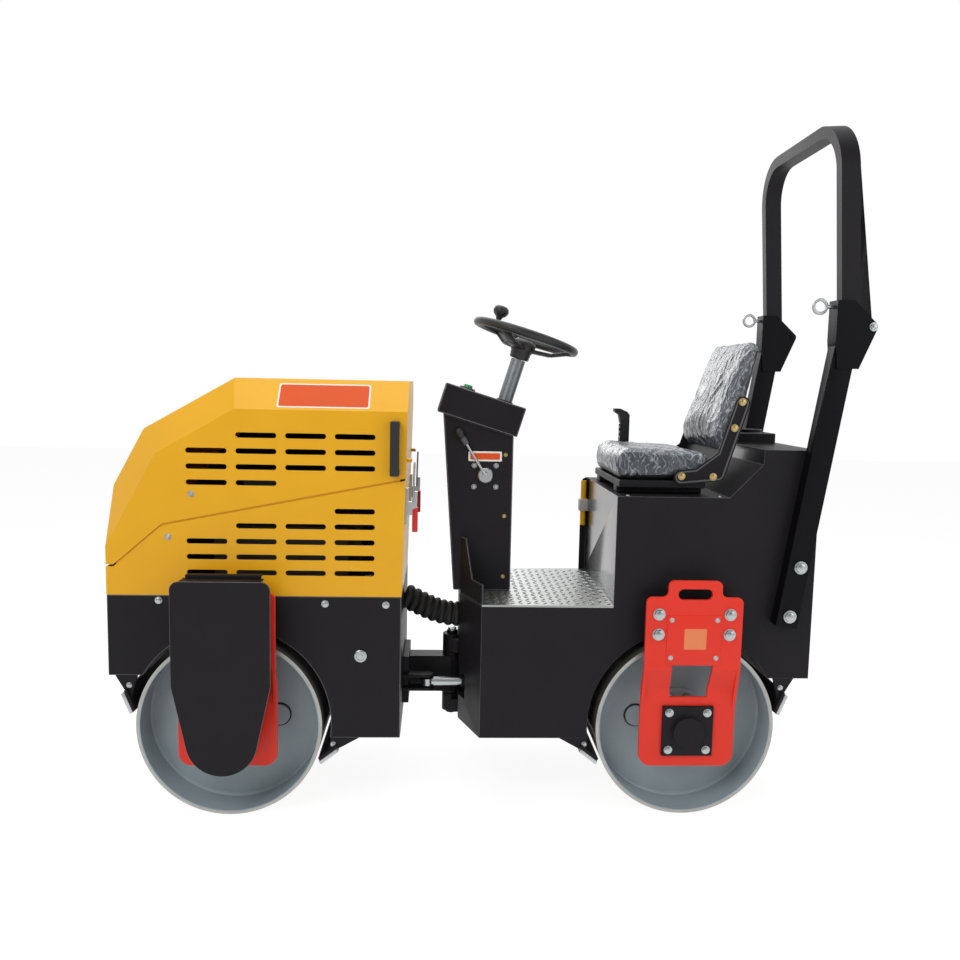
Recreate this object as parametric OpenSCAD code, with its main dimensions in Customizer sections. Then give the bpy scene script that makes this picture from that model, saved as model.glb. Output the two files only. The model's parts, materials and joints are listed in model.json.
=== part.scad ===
// Ride-on double-drum road roller, hinged at its middle pivot.
// X runs forward to the hood, Y to the left, Z up from the ground.

/* [Drums] */
// Diameter of each steel drum
drum_d = 560; // [400:1:800]
// Width of each drum
drum_w = 600; // [400:1:900]
// Thickness of the rolled drum shell
drum_shell = 12; // [6:1:25]
// Depth of the end disc behind the rim
disc_recess = 105; // [60:1:160]
// Distance between the two drum axles
wheelbase = 1404; // [1100:1:2000]
// Radius of the stub axle
stub_r = 30; // [20:1:38]
// Radius of the drum hub boss
hub_r = 46; // [42:1:70]
// Length of the drum hub boss
hub_len = 55; // [30:1:80]
// Radius of the bolted hub flange
flange_r = 95; // [80:1:98]
// Thickness of the bolted hub flange
flange_t = 14; // [6:1:20]
// Distance of the filler plugs from the axle
plug_dx = 133; // [132:1:160]
// Radius of a filler plug
plug_r = 33; // [20:1:36]
// Height of a filler plug on its disc
plug_h = 8; // [4:1:14]

/* [Frames] */
// How far the frame sides stand inside the drum ends
frame_inset = 20; // [10:1:60]
// Gap from drum to wheel arch
arch_gap = 24; // [15:1:60]
// Thickness of the front frame over the arch
deck_t = 98; // [60:1:160]
// Length of the front frame behind its axle
front_inner = 517; // [420:1:640]
// Length of the front frame ahead of its axle
front_outer = 366; // [320:1:460]
// Lower edge of the frames beyond the drums, above the axle
outer_low = 152; // [90:1:200]
// Lower edge of the frames towards the pivot, below the axle
inner_low = 44; // [0:1:120]
// Gap from the rear frame's nose to the pivot axis
nose_gap = 21; // [10:1:60]
// Depth of the nose chamfers along X
nose_cut = 63; // [20:1:120]
// Half width of the rear frame's front wall
nose_half = 110; // [60:1:200]
// Drop from the front frame's top to the operator's floor
floor_drop = 22; // [0:1:60]
// Thickness of the chequer floor plate
floor_t = 6; // [3:1:10]
// Front wall of the seat box ahead of the rear axle
seat_box_fore = 234; // [150:1:320]
// Height of the seat box above the floor
seat_box_h = 341; // [260:1:420]
// Width of the flange along the seat box's right front edge
flange_w = 22; // [10:1:30]
// Length of the flat under the seat
seat_box_len = 347; // [300:1:420]
// Length of the slope from seat flat to locker
slope_len = 102; // [60:1:160]
// Length of the rear locker's top
locker_len = 177; // [140:1:260]
// Height of the rear locker above the seat flat
locker_h = 150; // [80:1:220]
// Height of the locker's upright front edge
locker_edge = 46; // [10:1:80]

/* [Hood] */
// Sheet thickness of hood and panels
sheet = 4; // [2:0.5:8]
// Height of the side fold above the frame
fold_h = 563; // [480:1:640]
// Height of the roof above the side fold
roof_h = 92; // [60:1:140]
// Width of the roof chamfer
chamfer_w = 85; // [40:1:140]
// Front end of the roof behind the nose
roof_back = 369; // [280:1:440]
// Start of the nose chamfer behind the roof's front end
chamfer_back = 18; // [5:1:40]
// Knee of the sloping nose behind the nose
knee_back = 93; // [60:1:140]
// Height of the knee above the frame
knee_h = 496; // [440:1:540]
// Height of the upright nose above the frame
nose_h = 322; // [260:1:380]
// Backward lean of the hood's rear wall
rear_lean = 13; // [0:1:40]
// Height of the split line at the rear, above the frame
split_rear_h = 363; // [300:1:420]
// Knee of the split line behind the nose
split_knee_back = 167; // [120:1:240]
// Height of the split line's knee above the frame
split_knee_h = 218; // [160:1:260]
// Foot of the split line behind the nose
split_foot_back = 22; // [10:1:60]
// Height of the split line's foot above the frame
split_foot_h = 92; // [60:1:130]
// Gap along the split line
split_gap = 6; // [5:0.5:10]
// Length of one cooling slot
slot_len = 121; // [80:1:130]
// Height of one cooling slot
slot_h = 16; // [8:1:24]
// Pitch of the slot columns
slot_pitch_x = 146.7; // [135:0.1:160]
// Pitch of the slot rows
slot_pitch_z = 47.5; // [30:0.5:50]
// Middle of the foremost slot column behind the nose
slot_back = 300; // [260:1:340]
// Topmost slot row of the hood above the frame
slot_top_h = 486; // [460:1:510]
// Topmost slot row of the lower panel above the frame
slot_low_h = 261; // [230:1:280]
// Spread of the hood hinges from the middle
hinge_y = 190; // [120:1:230]
// Half length of a hood hinge
hinge_len = 34; // [20:1:45]
// Height of a hinge leaf
leaf_h = 34; // [20:1:50]
// Radius of a hinge knuckle
knuckle_r = 7; // [6:0.5:10]
// Spread of the latches from the middle
latch_y = 215; // [150:1:235]
// Height of the latch foot above the frame
latch_h = 218; // [180:1:260]
// Height of a latch plate
latch_len = 110; // [80:1:120]
// Width of a latch plate
latch_w = 40; // [24:1:50]
// Length of a latch lever
latch_grip = 120; // [80:1:140]
// Middle of the grip handle ahead of the hood's rear edge
handle_in = 24; // [18:1:60]
// Middle of the grip handle above the frame
handle_h = 454; // [430:1:480]
// Length of the grip handle
handle_len = 164; // [120:1:170]
// Width of the grip handle
handle_w = 28; // [18:1:34]
// Projection of the grip handle
handle_out = 34; // [28:1:50]
// Wall of the grip handle
handle_t = 10; // [6:1:14]
// Length of the finger gap in the grip handle
grip_len = 116; // [90:1:140]

/* [Engine] */
// Engine behind the hood's rear wall
engine_in = 175; // [120:1:220]
// Length of the engine block
engine_len = 420; // [300:1:480]
// Width of the engine block
engine_w = 300; // [200:1:400]
// Height of the engine block
engine_h = 190; // [140:1:260]
// Length of the cylinder head
top_len = 250; // [160:1:300]
// Width of the cylinder head
top_w = 220; // [140:1:260]
// Height of the cylinder head
top_h = 170; // [100:1:240]
// Radius of the fan housing
fan_r = 110; // [80:1:130]
// Length of the fan housing
fan_len = 40; // [20:1:80]

/* [Drum brackets] */
// Width of a bracket
bracket_w = 296; // [220:1:360]
// Plate thickness of a bracket
bracket_t = 12; // [8:1:20]
// Gap from the drum's end to the lower bracket plate
bracket_gap = 10; // [6:1:30]
// Outward joggle of the upper bracket plate
joggle_out = 30; // [10:1:60]
// Start of the joggle above the axle
joggle_top = 201; // [160:1:230]
// End of the joggle above the axle
joggle_low = 130; // [90:1:150]
// Lower end of the bracket below the axle
bracket_low = 115; // [90:1:160]
// Shoulder of the bracket above the frame's top
shoulder_h = 24; // [10:1:60]
// Height of the lifting tab above the shoulder
tab_h = 51; // [30:1:80]
// Width of the lifting tab
tab_w = 164; // [130:1:220]
// Length of the lifting slot
lift_len = 105; // [70:1:120]
// Height of the lifting slot
lift_h = 33; // [20:1:40]
// Middle of the lifting slot below the tab's top
lift_drop = 42; // [30:1:50]
// Radius of the bracket's lower corners
corner_r = 40; // [10:1:60]
// Radius of the bracket's shoulders and tab corners
shoulder_r = 18; // [5:1:24]
// Width of the bracket window's upper edge
window_w = 126; // [80:1:160]
// Narrowing of the window at its lower edge
window_taper = 10; // [0:1:30]
// Upper edge of the window above the axle
window_top = 215; // [190:1:240]
// Lower edge of the window above the axle
window_low = 105; // [95:1:130]
// Thickness of a joggle gusset
gusset_t = 10; // [6:1:16]
// Length of a joggle gusset below the joggle
gusset_len = 60; // [30:1:90]
// Radius of a rubber mount
mount_r = 24; // [16:1:26]
// Spread of the rubber mounts along X
mount_dx = 109; // [80:1:120]
// Upper row of rubber mounts below the frame's top
mount_top = 28; // [27:1:40]
// Distance between the rows of rubber mounts
mount_rows = 62; // [54:1:66]
// Side of the bearing plate
bearing_w = 158; // [130:1:200]
// Thickness of the bearing plate
bearing_t = 10; // [6:1:16]
// Radius of the bearing cap
cap_r = 48; // [36:1:60]
// Height of the bearing cap
cap_h = 16; // [8:1:24]
// Radius of the drive motor
motor_r = 56; // [40:1:70]
// Gap from drive motor to its cover
motor_gap = 22; // [5:1:30]
// Gap from the bracket to the drive motor cover
cover_gap = 49; // [40:1:80]
// Width of the drive motor cover
cover_w = 288; // [220:1:340]
// Height of the cover's straight sides above the axle
cover_knee = 161; // [120:1:220]
// Radius of the cover's lower end
cover_r = 105; // [80:1:130]
// Middle of the cover's lower end below the axle
cover_drop = 7; // [0:1:30]
// Top of the cover below the bracket's top
cover_top = 5; // [4:1:20]
// Radius of the cover's upper corners
cover_corner = 26; // [5:1:60]

/* [Scrapers] */
// Gap from scraper blade to drum
blade_gap = 10; // [6:1:20]
// Thickness of a scraper blade
blade_t = 9; // [5:1:14]
// Depth of a scraper blade
blade_len = 70; // [40:1:80]
// Height angle of the outer blade's edge
outer_blade_a = 9; // [0:1:20]
// Depth angle of the inner blade's edge
inner_blade_a = 22; // [15:1:30]
// Slant of the blades against the drum's tangent
blade_slant = 31; // [10:1:45]
// Thickness of a scraper arm
scraper_t = 10; // [6:1:16]
// Width of a scraper arm at the frame
scraper_w = 66; // [40:1:90]
// Distance of the blade's end below the drum's edge
blade_inset = 6; // [0:1:20]

/* [Pivot] */
// Pivot axis ahead of the middle between the axles
pivot_x = 23; // [0:1:60]
// Radius of the pivot bosses
boss_r = 31; // [24:1:45]
// Radius of the pivot pin
pivot_pin_r = 18; // [12:1:22]
// Bottom of the middle boss above the axle
boss_low = 10; // [0:1:40]
// Height of the middle boss
boss_h = 141; // [100:1:180]
// Height of one rear ear
ear_h = 60; // [40:1:80]
// Width of one rear ear
ear_w = 120; // [90:1:160]
// Running gap between ears and middle boss
ear_gap = 2; // [1:0.5:6]
// Clear space around the bosses
notch_gap = 8; // [5:1:16]
// Projection of the pivot pin past the ears
pin_out = 10; // [4:1:16]
// Thickness of the coupler's foot plate
coupler_t = 20; // [12:1:30]
// Width of the coupler's foot plate
coupler_w = 200; // [150:1:260]
// Height of the coupler's foot plate
coupler_h = 156; // [120:1:180]
// Width of the coupler's arm
coupler_arm = 72; // [50:1:80]
// Height of the coupler's arm
coupler_arm_h = 122; // [90:1:130]
// Steering ram eye ahead of the pivot
ram_eye_dx = 82; // [60:1:100]
// Steering ram offset to the left
ram_y = 95; // [85:1:130]
// Steering ram height above the axle
ram_h = 76; // [50:1:100]
// Steering ram rear pin behind the pivot
ram_pin_dx = 283; // [240:1:340]
// Radius of the ram rod
rod_r = 14; // [8:1:17]
// Radius of the ram barrel
barrel_r = 21; // [18:1:28]
// Radius of the ram's eye and pin boss
eye_r = 20; // [16:1:24]
// Height of the ram's eye
eye_h = 22; // [14:1:28]
// Radius of the ram's rear pin
ram_pin_r = 10; // [6:1:14]
// Thickness of a ram lug
lug_t = 10; // [6:1:14]
// Gap between ram eye and lug
lug_gap = 6; // [2:1:10]
// Height of the ram pocket in the rear frame
pocket_h = 80; // [70:1:100]
// Width of the ram pocket in the rear frame
pocket_w = 130; // [110:1:150]
// Radius of the hose sleeve
hose_r = 42; // [30:1:50]
// Hose sleeve's offset to the left
hose_y = 40; // [0:1:60]
// Hose sleeve's middle at the front frame, below its top
hose_drop = 51; // [44:1:90]
// Fall of the hose sleeve
hose_fall = 19; // [0:1:30]

/* [Console] */
// Half width of the pedestal
pedestal_half = 86; // [60:1:100]
// Length of the pedestal's foot
pedestal_len = 187; // [140:1:220]
// Rear face of the pedestal behind the rear frame's nose
pedestal_back = 165; // [140:1:200]
// Forward lean of the pedestal's front face
pedestal_lean = 41; // [0:1:60]
// Half width of the control head
head_half = 104; // [90:1:140]
// Length of the control head
head_len = 269; // [245:1:320]
// Depth of the control head
head_depth = 97; // [60:1:130]
// Overhang of the control head behind the pedestal
head_over = 9; // [0:1:30]
// Rear lower corner of the head above the floor
head_h = 505; // [440:1:560]
// Tilt of head and steering column
console_tilt = 17; // [10:0.5:25]
// Steering axis ahead of the head's rear edge
column_in = 66; // [40:1:120]
// Wheel's plane above the head's top
wheel_rise = 222; // [160:1:280]
// Radius of the wheel rim's centre line
wheel_r = 167; // [140:1:200]
// Radius of the rim section
rim_r = 12; // [9:1:16]
// Radius of the steering column
column_r = 24; // [18:1:30]
// Top of the steering column below the wheel
column_gap = 78; // [76:1:100]
// Radius of the steering shaft
shaft_r = 10; // [7:1:14]
// Radius of the wheel's hub
wheel_hub_r = 27; // [20:1:36]
// Height of the wheel's hub
wheel_hub_h = 60; // [40:1:70]
// Drop of the wheel's hub below the rim
dish = 36; // [20:1:50]
// Radius of a wheel spoke
spoke_r = 7; // [5:1:10]
// Radius of the spinner knob
knob_r = 20; // [14:1:26]
// Height of the spinner knob above the rim
knob_h = 52; // [40:1:70]
// Throttle pivot ahead of the pedestal's rear face
throttle_in = 89; // [60:1:120]
// Throttle pivot above the floor
throttle_h = 379; // [320:1:420]
// Radius of the throttle's pivot disc
throttle_r = 25; // [16:1:34]
// Length of the throttle lever
throttle_len = 168; // [100:1:190]
// Slant of the throttle lever
throttle_slant = 32; // [0:1:60]
// Thickness of a toe board
toe_t = 5; // [3:1:8]
// Height of a toe board at the step
toe_low = 62; // [40:1:90]
// Height of a toe board at the pedestal
toe_h = 182; // [120:1:220]
// Length of a toe board's low part
toe_len = 85; // [40:1:100]
// Length of a toe board's rise
toe_rise = 55; // [20:1:60]

/* [Seat] */
// Gap from the cushions to the travel lever's box
seat_gap = 14; // [6:1:40]
// Overhang of the cushion ahead of the seat box
cushion_over = 8; // [0:1:40]
// Gap from the cushion's rear to the end of the seat flat
cushion_gap = 33; // [20:1:60]
// Height of the seat rails
rail_h = 20; // [12:1:30]
// Height of the seat pan
pan_h = 23; // [12:1:30]
// Width of a seat rail
rail_w = 50; // [30:1:70]
// Spread of the seat rails
rail_y = 150; // [100:1:180]
// Inset of the seat pan from the cushion's ends
pan_inset = 25; // [10:1:40]
// Thickness of the seat cushion
cushion_t = 96; // [70:1:120]
// Rounding of the cushion's front edge
cushion_ease = 30; // [10:1:34]
// Rounding of the cushion's front corners, seen from above
cushion_corner = 60; // [20:1:90]
// Foot of the backrest behind the cushion's rear
back_behind = 20; // [10:1:50]
// Foot of the backrest above the seat pan
back_h = 86; // [60:1:120]
// Height of the backrest along its lean
back_len = 372; // [300:1:450]
// Thickness of the backrest at its swell
back_t = 72; // [60:1:90]
// Height of the swell above the backrest's foot
swell_h = 95; // [70:1:130]
// Thickness of the backrest's top
brow_t = 44; // [36:1:56]
// Crown of the cushions across their width
crown = 20; // [5:1:40]
// Rounding of the backrest's upper edges
back_ease = 22; // [10:1:29]
// Rounding of the backrest's upper corners, seen from ahead
back_corner = 55; // [30:1:120]
// Lean of the backrest
back_lean = 13; // [5:1:18]
// Thickness of a seat side arm
arm_t = 6; // [4:1:10]
// Length of a seat side arm along the cushion
arm_len = 104; // [80:1:160]
// Height of a seat side arm beside the backrest
arm_rise = 220; // [180:1:280]
// Width of a seat side arm
arm_w = 46; // [40:1:60]
// Lean of a seat side arm beside the backrest
arm_lean = 17; // [10:1:25]
// Travel lever behind the seat box's front wall
lever_back = 124; // [90:1:160]
// Length of the travel lever's box
lever_box_len = 90; // [60:1:120]
// Width of the travel lever's box
lever_box_w = 50; // [50:1:56]
// Height of the travel lever's box
lever_box_h = 96; // [60:1:120]
// Height of the lever's gaiter
gaiter_h = 34; // [20:1:50]
// Height of the lever's grip
lever_grip_h = 124; // [90:1:150]
// Width of the lever's grip
lever_grip_w = 34; // [24:1:44]
// Forward reach of the grip's head
lever_hook = 22; // [10:1:30]
// Length of the tank hatch
hatch_len = 130; // [80:1:150]
// Width of the tank hatch
hatch_w = 140; // [80:1:200]
// Height of the tank hatch
hatch_h = 34; // [10:1:50]
// Tank hatch's offset to the right
hatch_y = 110; // [80:1:150]
// Radius of the tank cap
tank_cap_r = 40; // [24:1:50]
// Height of the tank cap
tank_cap_h = 12; // [6:1:20]
// Radius of the stow tube
tube_r = 10; // [6:1:14]
// Length of the stow tube
tube_len = 162; // [100:1:170]
// Stow tube above the floor
tube_h = 168; // [100:1:170]
// Stow tube inside the frame's right side
tube_in = 22; // [14:1:40]
// Height of the stow tube's clip
clip_h = 40; // [20:1:60]

/* [Roll bar] */
// Depth of a leg along X
leg_d = 66; // [50:1:90]
// Thickness of a leg along Y
leg_t = 47; // [42:1:60]
// Foot of a leg ahead of the rear wall
leg_in = 99; // [60:1:140]
// Foot of a leg above the lower edge of the frame
leg_foot_h = 178; // [120:1:230]
// Hinge of the hoop behind the rear wall
pin_back = 109; // [80:1:140]
// Hinge of the hoop above the locker
pin_h = 374; // [320:1:420]
// Top of a leg ahead of the hinge
leg_top_in = 77; // [50:1:90]
// Top of a leg below the hinge
leg_top_drop = 59; // [56:1:80]
// Thickness of a hinge cheek
cheek_t = 6; // [4:1:10]
// Reach of a hinge cheek ahead of the hinge
cheek_len = 112; // [100:1:130]
// Height of a hinge cheek above the hinge
cheek_rise = 76; // [66:1:90]
// Length of a hinge cheek below the hinge
cheek_drop = 125; // [100:1:150]
// Rounding of the cheek's tip
tip_r = 14; // [11:1:20]
// Radius of the hoop's hinge bolt
hoop_bolt_r = 8; // [6:1:10]
// Depth of the hoop tube along X
hoop_d = 57; // [45:1:60]
// Thickness of the hoop tube along Y
hoop_t = 35; // [25:1:35]
// Middle of the hoop's foot ahead of the hinge
hoop_in = 60; // [56:1:66]
// Foot of the hoop below the hinge
hoop_drop = 31; // [20:1:34]
// Top of the hoop above the hinge
hoop_rise = 610; // [450:1:720]
// Outer radius of the hoop corners
hoop_bend_r = 150; // [100:1:200]
// Forward lean of the hoop
hoop_lean = 3.8; // [0:0.1:5]
// Height of the lock pins above the hinge
lock_h = 58; // [40:1:60]
// Radius of a lock pin
lock_r = 6; // [4:1:8]
// Radius of a lock pin's pull ring
ring_r = 20; // [10:1:24]

/* [Hidden] */
$fn = 72;
far = 1600;
run_fit = 0.05;
seam = 0.02;
fold_ease = 1;
sink = 2;
play = 1;
leaf_t = 4;
pin_r = 4;
half = drum_w / 2 - frame_inset;
axle_x = wheelbase / 2;
axle_z = drum_d / 2;
arch_r = axle_z + arch_gap;
disc_y = drum_w / 2 - disc_recess;
front_back_x = axle_x - front_inner;
front_nose_x = axle_x + front_outer;
front_top_z = drum_d + arch_gap + deck_t;
outer_low_z = axle_z + outer_low;
inner_low_z = axle_z - inner_low;
rear_nose_x = pivot_x - nose_gap;
rear_side_x = rear_nose_x - nose_cut;
floor_z = front_top_z - floor_drop;
seat_box_x = seat_box_fore - axle_x;
seat_box_z = floor_z + seat_box_h;
seat_back_x = seat_box_x - seat_box_len;
locker_x = seat_back_x - slope_len;
locker_z = seat_box_z + locker_h;
rear_wall_x = locker_x - locker_len;
fold_z = front_top_z + fold_h;
roof_z = fold_z + roof_h;
roof_x = front_nose_x - roof_back;
knee_x = front_nose_x - knee_back;
knee_z = front_top_z + knee_h;
nose_z = front_top_z + nose_h;
split_rear_z = front_top_z + split_rear_h;
split_knee_x = front_nose_x - split_knee_back;
split_knee_z = front_top_z + split_knee_h;
split_foot_x = front_nose_x - split_foot_back;
split_foot_z = front_top_z + split_foot_h;
slot_x = front_nose_x - slot_back;
slot_top_z = front_top_z + slot_top_h;
slot_low_z = front_top_z + slot_low_h;
hinge_x = front_nose_x + knuckle_r + play;
hinge_z = split_foot_z - split_gap / 2;
latch_z = front_top_z + latch_h;
bracket_low_y = drum_w / 2 + bracket_gap;
bracket_y = bracket_low_y + joggle_out;
plate_out = bracket_y + bracket_t;
plate_low_out = bracket_low_y + bracket_t;
cover_y = plate_out + cover_gap;
shoulder_z = front_top_z + shoulder_h;
tab_z = shoulder_z + tab_h;
mount_top_z = front_top_z - mount_top;
boss_low_z = axle_z + boss_low;
boss_top_z = boss_low_z + boss_h;
ram_eye_x = pivot_x + ram_eye_dx;
ram_pin_x = pivot_x - ram_pin_dx;
ram_z = axle_z + ram_h;
pedestal_back_x = rear_nose_x - pedestal_back;
pedestal_foot_x = pedestal_back_x + pedestal_len;
pedestal_head_x = pedestal_foot_x + pedestal_lean;
head_x = pedestal_back_x - head_over;
head_z = floor_z + head_h;
wheel_up = head_depth + wheel_rise;
wheel_x = head_x + column_in * cos(console_tilt) - wheel_up * sin(console_tilt);
wheel_z = head_z + column_in * sin(console_tilt) + wheel_up * cos(console_tilt);
throttle_x = pedestal_back_x + throttle_in;
throttle_z = floor_z + throttle_h;
seat_half = half - lever_box_w - seat_gap;
cushion_x = seat_box_x + cushion_over;
cushion_len = cushion_over + seat_box_len - cushion_gap;
cushion_back_x = cushion_x - cushion_len;
cushion_z = seat_box_z + rail_h + pan_h;
crown_r = (seat_half * seat_half + crown * crown) / (2 * crown);
lever_x = seat_box_x - lever_back;
hoop_pin_x = rear_wall_x - pin_back;
hoop_pin_z = locker_z + pin_h;
leg_foot_x = rear_wall_x + leg_in;
leg_foot_z = outer_low_z + leg_foot_h;
leg_run = leg_foot_x - hoop_pin_x - leg_top_in;
leg_climb = hoop_pin_z - leg_top_drop - leg_foot_z;
leg_lean = atan2(leg_run, leg_climb);
leg_len = norm([leg_run, leg_climb]);
cheek_x = hoop_pin_x + cheek_len;
hoop_y = half + leg_t / 2;
hoop_x = hoop_pin_x + hoop_in;
hoop_foot_z = hoop_pin_z - hoop_drop;
shift_x = -(hinge_x + knuckle_r + hoop_pin_x - tip_r) / 2;

black = "#232126";
yellow = "#e3ab2a";
red = "#d93a2b";
steel = "#9aa0a2";
drum_grey = "#69757a";

// Extrudes a profile drawn in X and Z between two values of Y
module across(y0, y1) {
    translate([0, y1, 0])
        rotate([90, 0, 0])
            linear_extrude(height = y1 - y0)
                children();
}

// Extrudes a profile drawn in Y and Z between two values of X
module along(x0, x1) {
    translate([x0, 0, 0])
        rotate([90, 0, 90])
            linear_extrude(height = x1 - x0)
                children();
}

// A rod lying along Y
module rod_y(x, z, r, y0, y1) {
    translate([x, y1, z])
        rotate([90, 0, 0])
            cylinder(r = r, h = y1 - y0);
}

// A rod lying along X
module rod_x(y, z, r, x0, x1) {
    translate([x0, y, z])
        rotate([0, 90, 0])
            cylinder(r = r, h = x1 - x0);
}

// The pair of a left-hand piece and its mirror image
module both_sides() {
    children();
    mirror([0, 1, 0])
        children();
}

// Places a piece of the front drum's own frame
module at_front() {
    translate([axle_x, 0, 0])
        children();
}

// Places the same piece at the rear drum, turned about
module at_rear() {
    translate([-axle_x, 0, 0])
        rotate([0, 0, 180])
            children();
}

// Solid on the outer side of a plane through p with outward normal n
module beyond(p, n) {
    u = n / norm(n);
    translate(p)
        rotate([0, acos(u[2]), atan2(u[1], u[0])])
            translate([-far, -far, 0])
                cube([2 * far, 2 * far, far]);
}

// Level slot with round ends, drawn in X and Z
module slot_2d(length, height) {
    square([length - height, height], center = true);
    for (side = [-1, 1])
        translate([side * (length - height) / 2, 0])
            circle(d = height);
}

// Rear wall of hood and panels at a height
function back_x_at(z) = front_back_x - rear_lean * (z - front_top_z) / fold_h;

// Closed outer form of hood and panels, drawn in by t and cut to half width w
module hood_form(t, w) {
    s1 = [roof_x - chamfer_back, half, fold_z];
    c1 = [roof_x, half - chamfer_w, roof_z];
    c2 = [knee_x, half - chamfer_w, knee_z];
    c3 = [front_nose_x, half - chamfer_w, nose_z];
    na = [0, roof_h, chamfer_w];
    nb = cross(c1 - s1, c2 - c1);
    sb = nb[1] > 0 ? nb : -nb;
    s2 = s1 + (c2 - c1) * 0.84;
    nc = cross(c2 - s2, c3 - c2);
    sc = nc[1] > 0 ? nc : -nc;
    difference() {
        across(-w, w)
            polygon([
                [back_x_at(front_top_z) + t, front_top_z - t],
                [back_x_at(roof_z) + t, roof_z - t],
                [roof_x - t / 2, roof_z - t],
                [knee_x - t, knee_z - t],
                [front_nose_x - t, nose_z - t / 2],
                [front_nose_x - t, front_top_z - t]
            ]);
        both_sides() {
            beyond(s1 - na * t / norm(na), na);
            beyond(s1 - sb * (t - fold_ease) / norm(sb), sb);
            beyond(s2 - sc * (t - 2 * fold_ease) / norm(sc), sc);
        }
    }
}

// Space above the split line
module above_split() {
    across(-far, far)
        polygon([
            [-far, split_rear_z],
            [back_x_at(split_rear_z), split_rear_z],
            [split_knee_x, split_knee_z],
            [split_foot_x, split_foot_z],
            [far, split_foot_z],
            [far, far],
            [-far, far]
        ]);
}

// One row of cooling slots, columns counted from the nose
module slot_row(z, columns) {
    for (i = columns)
        translate([slot_x - i * slot_pitch_x, 0, z])
            across(-far, far)
                slot_2d(slot_len, slot_h);
}

// Round space of the wheel arch
module drum_arch() {
    rod_y(0, axle_z, arch_r, -far, far);
}

module front_chassis() {
    color(black)
        difference() {
            across(-half, half)
                polygon([
                    [front_back_x, inner_low_z],
                    [front_back_x, front_top_z],
                    [front_nose_x, front_top_z],
                    [front_nose_x, outer_low_z],
                    [axle_x, outer_low_z],
                    [axle_x, inner_low_z]
                ]);
            at_front()
                drum_arch();
        }
}

// Plain engine with its cylinder head and fan housing
module engine_block() {
    x = front_back_x + engine_in;
    color(steel) {
        translate([x, -engine_w / 2, front_top_z])
            cube([engine_len, engine_w, engine_h]);
        translate([x + (engine_len - top_len) / 2, -top_w / 2, front_top_z + engine_h])
            cube([top_len, top_w, top_h]);
        rod_x(0, front_top_z + fan_r, fan_r, x - fan_len, x);
    }
}

module lower_panels() {
    color(yellow)
        difference() {
            both_sides()
                across(half - sheet, half)
                    polygon([
                        [front_back_x, front_top_z],
                        [front_nose_x, front_top_z],
                        [front_nose_x, split_foot_z - split_gap],
                        [split_foot_x, split_foot_z - split_gap],
                        [split_knee_x, split_knee_z - split_gap],
                        [back_x_at(split_rear_z), split_rear_z - split_gap]
                    ]);
            slot_row(slot_low_z, [3]);
            slot_row(slot_low_z - slot_pitch_z, [1, 2, 3]);
            for (row = [2, 3, 4])
                slot_row(slot_low_z - row * slot_pitch_z, [0, 1, 2, 3]);
        }
}

module end_panels() {
    w = half - sheet;
    top = split_rear_z - split_gap;
    color(yellow) {
        across(-w, w)
            polygon([
                [front_back_x, front_top_z],
                [front_back_x + sheet, front_top_z],
                [back_x_at(top) + sheet, top],
                [back_x_at(top), top]
            ]);
        translate([front_nose_x - sheet, -w, front_top_z])
            cube([sheet, 2 * w, split_foot_h - split_gap]);
    }
}

// Fixed leaves, knuckles and pins of the hood's hinges
module hood_hinges() {
    leaf_top = hinge_z - knuckle_r - play;
    color(black)
        for (side = [-1, 1])
            translate([0, side * hinge_y, 0]) {
                translate([front_nose_x, -hinge_len, leaf_top - leaf_h])
                    cube([leaf_t, 2 * hinge_len, leaf_h]);
                difference() {
                    translate([front_nose_x, -hinge_len, leaf_top - leaf_t])
                        cube([hinge_x - front_nose_x, hinge_len, 2 * leaf_t + play]);
                    rod_y(hinge_x, hinge_z, knuckle_r - play, -far, far);
                }
                rod_y(hinge_x, hinge_z, knuckle_r, -hinge_len, 0);
                rod_y(hinge_x, hinge_z, pin_r, 0, hinge_len);
            }
}

// Puts a piece on the leaning rear wall of the front body, at the latches' foot
module on_back_wall() {
    translate([back_x_at(latch_z), 0, latch_z])
        rotate([0, -atan(rear_lean / fold_h), 0])
            children();
}

// Toggle latches: plate, pivot block, lever and wire bail
module hood_latches() {
    plate_t = latch_w / 5;
    block_t = latch_w / 2;
    lever_t = plate_t + play;
    wire_r = 3;
    color(steel)
        for (side = [-1, 1])
            on_back_wall()
                translate([0, side * latch_y, 0]) {
                    translate([-plate_t, -latch_w / 2, 0])
                        cube([plate_t, latch_w, latch_len]);
                    translate([-plate_t - block_t, -latch_w / 3, latch_len / 4])
                        cube([block_t, latch_w * 2 / 3, latch_w]);
                    translate([-plate_t - block_t - lever_t + play, -latch_w * 0.3, -latch_w / 2])
                        cube([lever_t, latch_w * 0.6, latch_grip]);
                    for (wire = [-1, 1])
                        translate([-plate_t - block_t * 0.8, wire * latch_w / 4.5, latch_w * 1.25])
                            cylinder(r = wire_r, h = latch_catch_z() - latch_w * 1.25 - play);
                }
}

// Height of the hood's catches above the latches' foot
function latch_catch_z() = split_rear_z - latch_z + latch_w * 1.15;

// Rectangle from x0 to x1 and z0 to z1, with its two upper corners rounded
module round_top(x0, x1, z0, z1, r) {
    translate([x0, z0])
        square([x1 - x0, z1 - r - z0]);
    translate([x0 + r, z0])
        square([x1 - x0 - 2 * r, z1 - z0]);
    for (x = [x0 + r, x1 - r])
        translate([x, z1 - r])
            circle(r = r);
}

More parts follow.
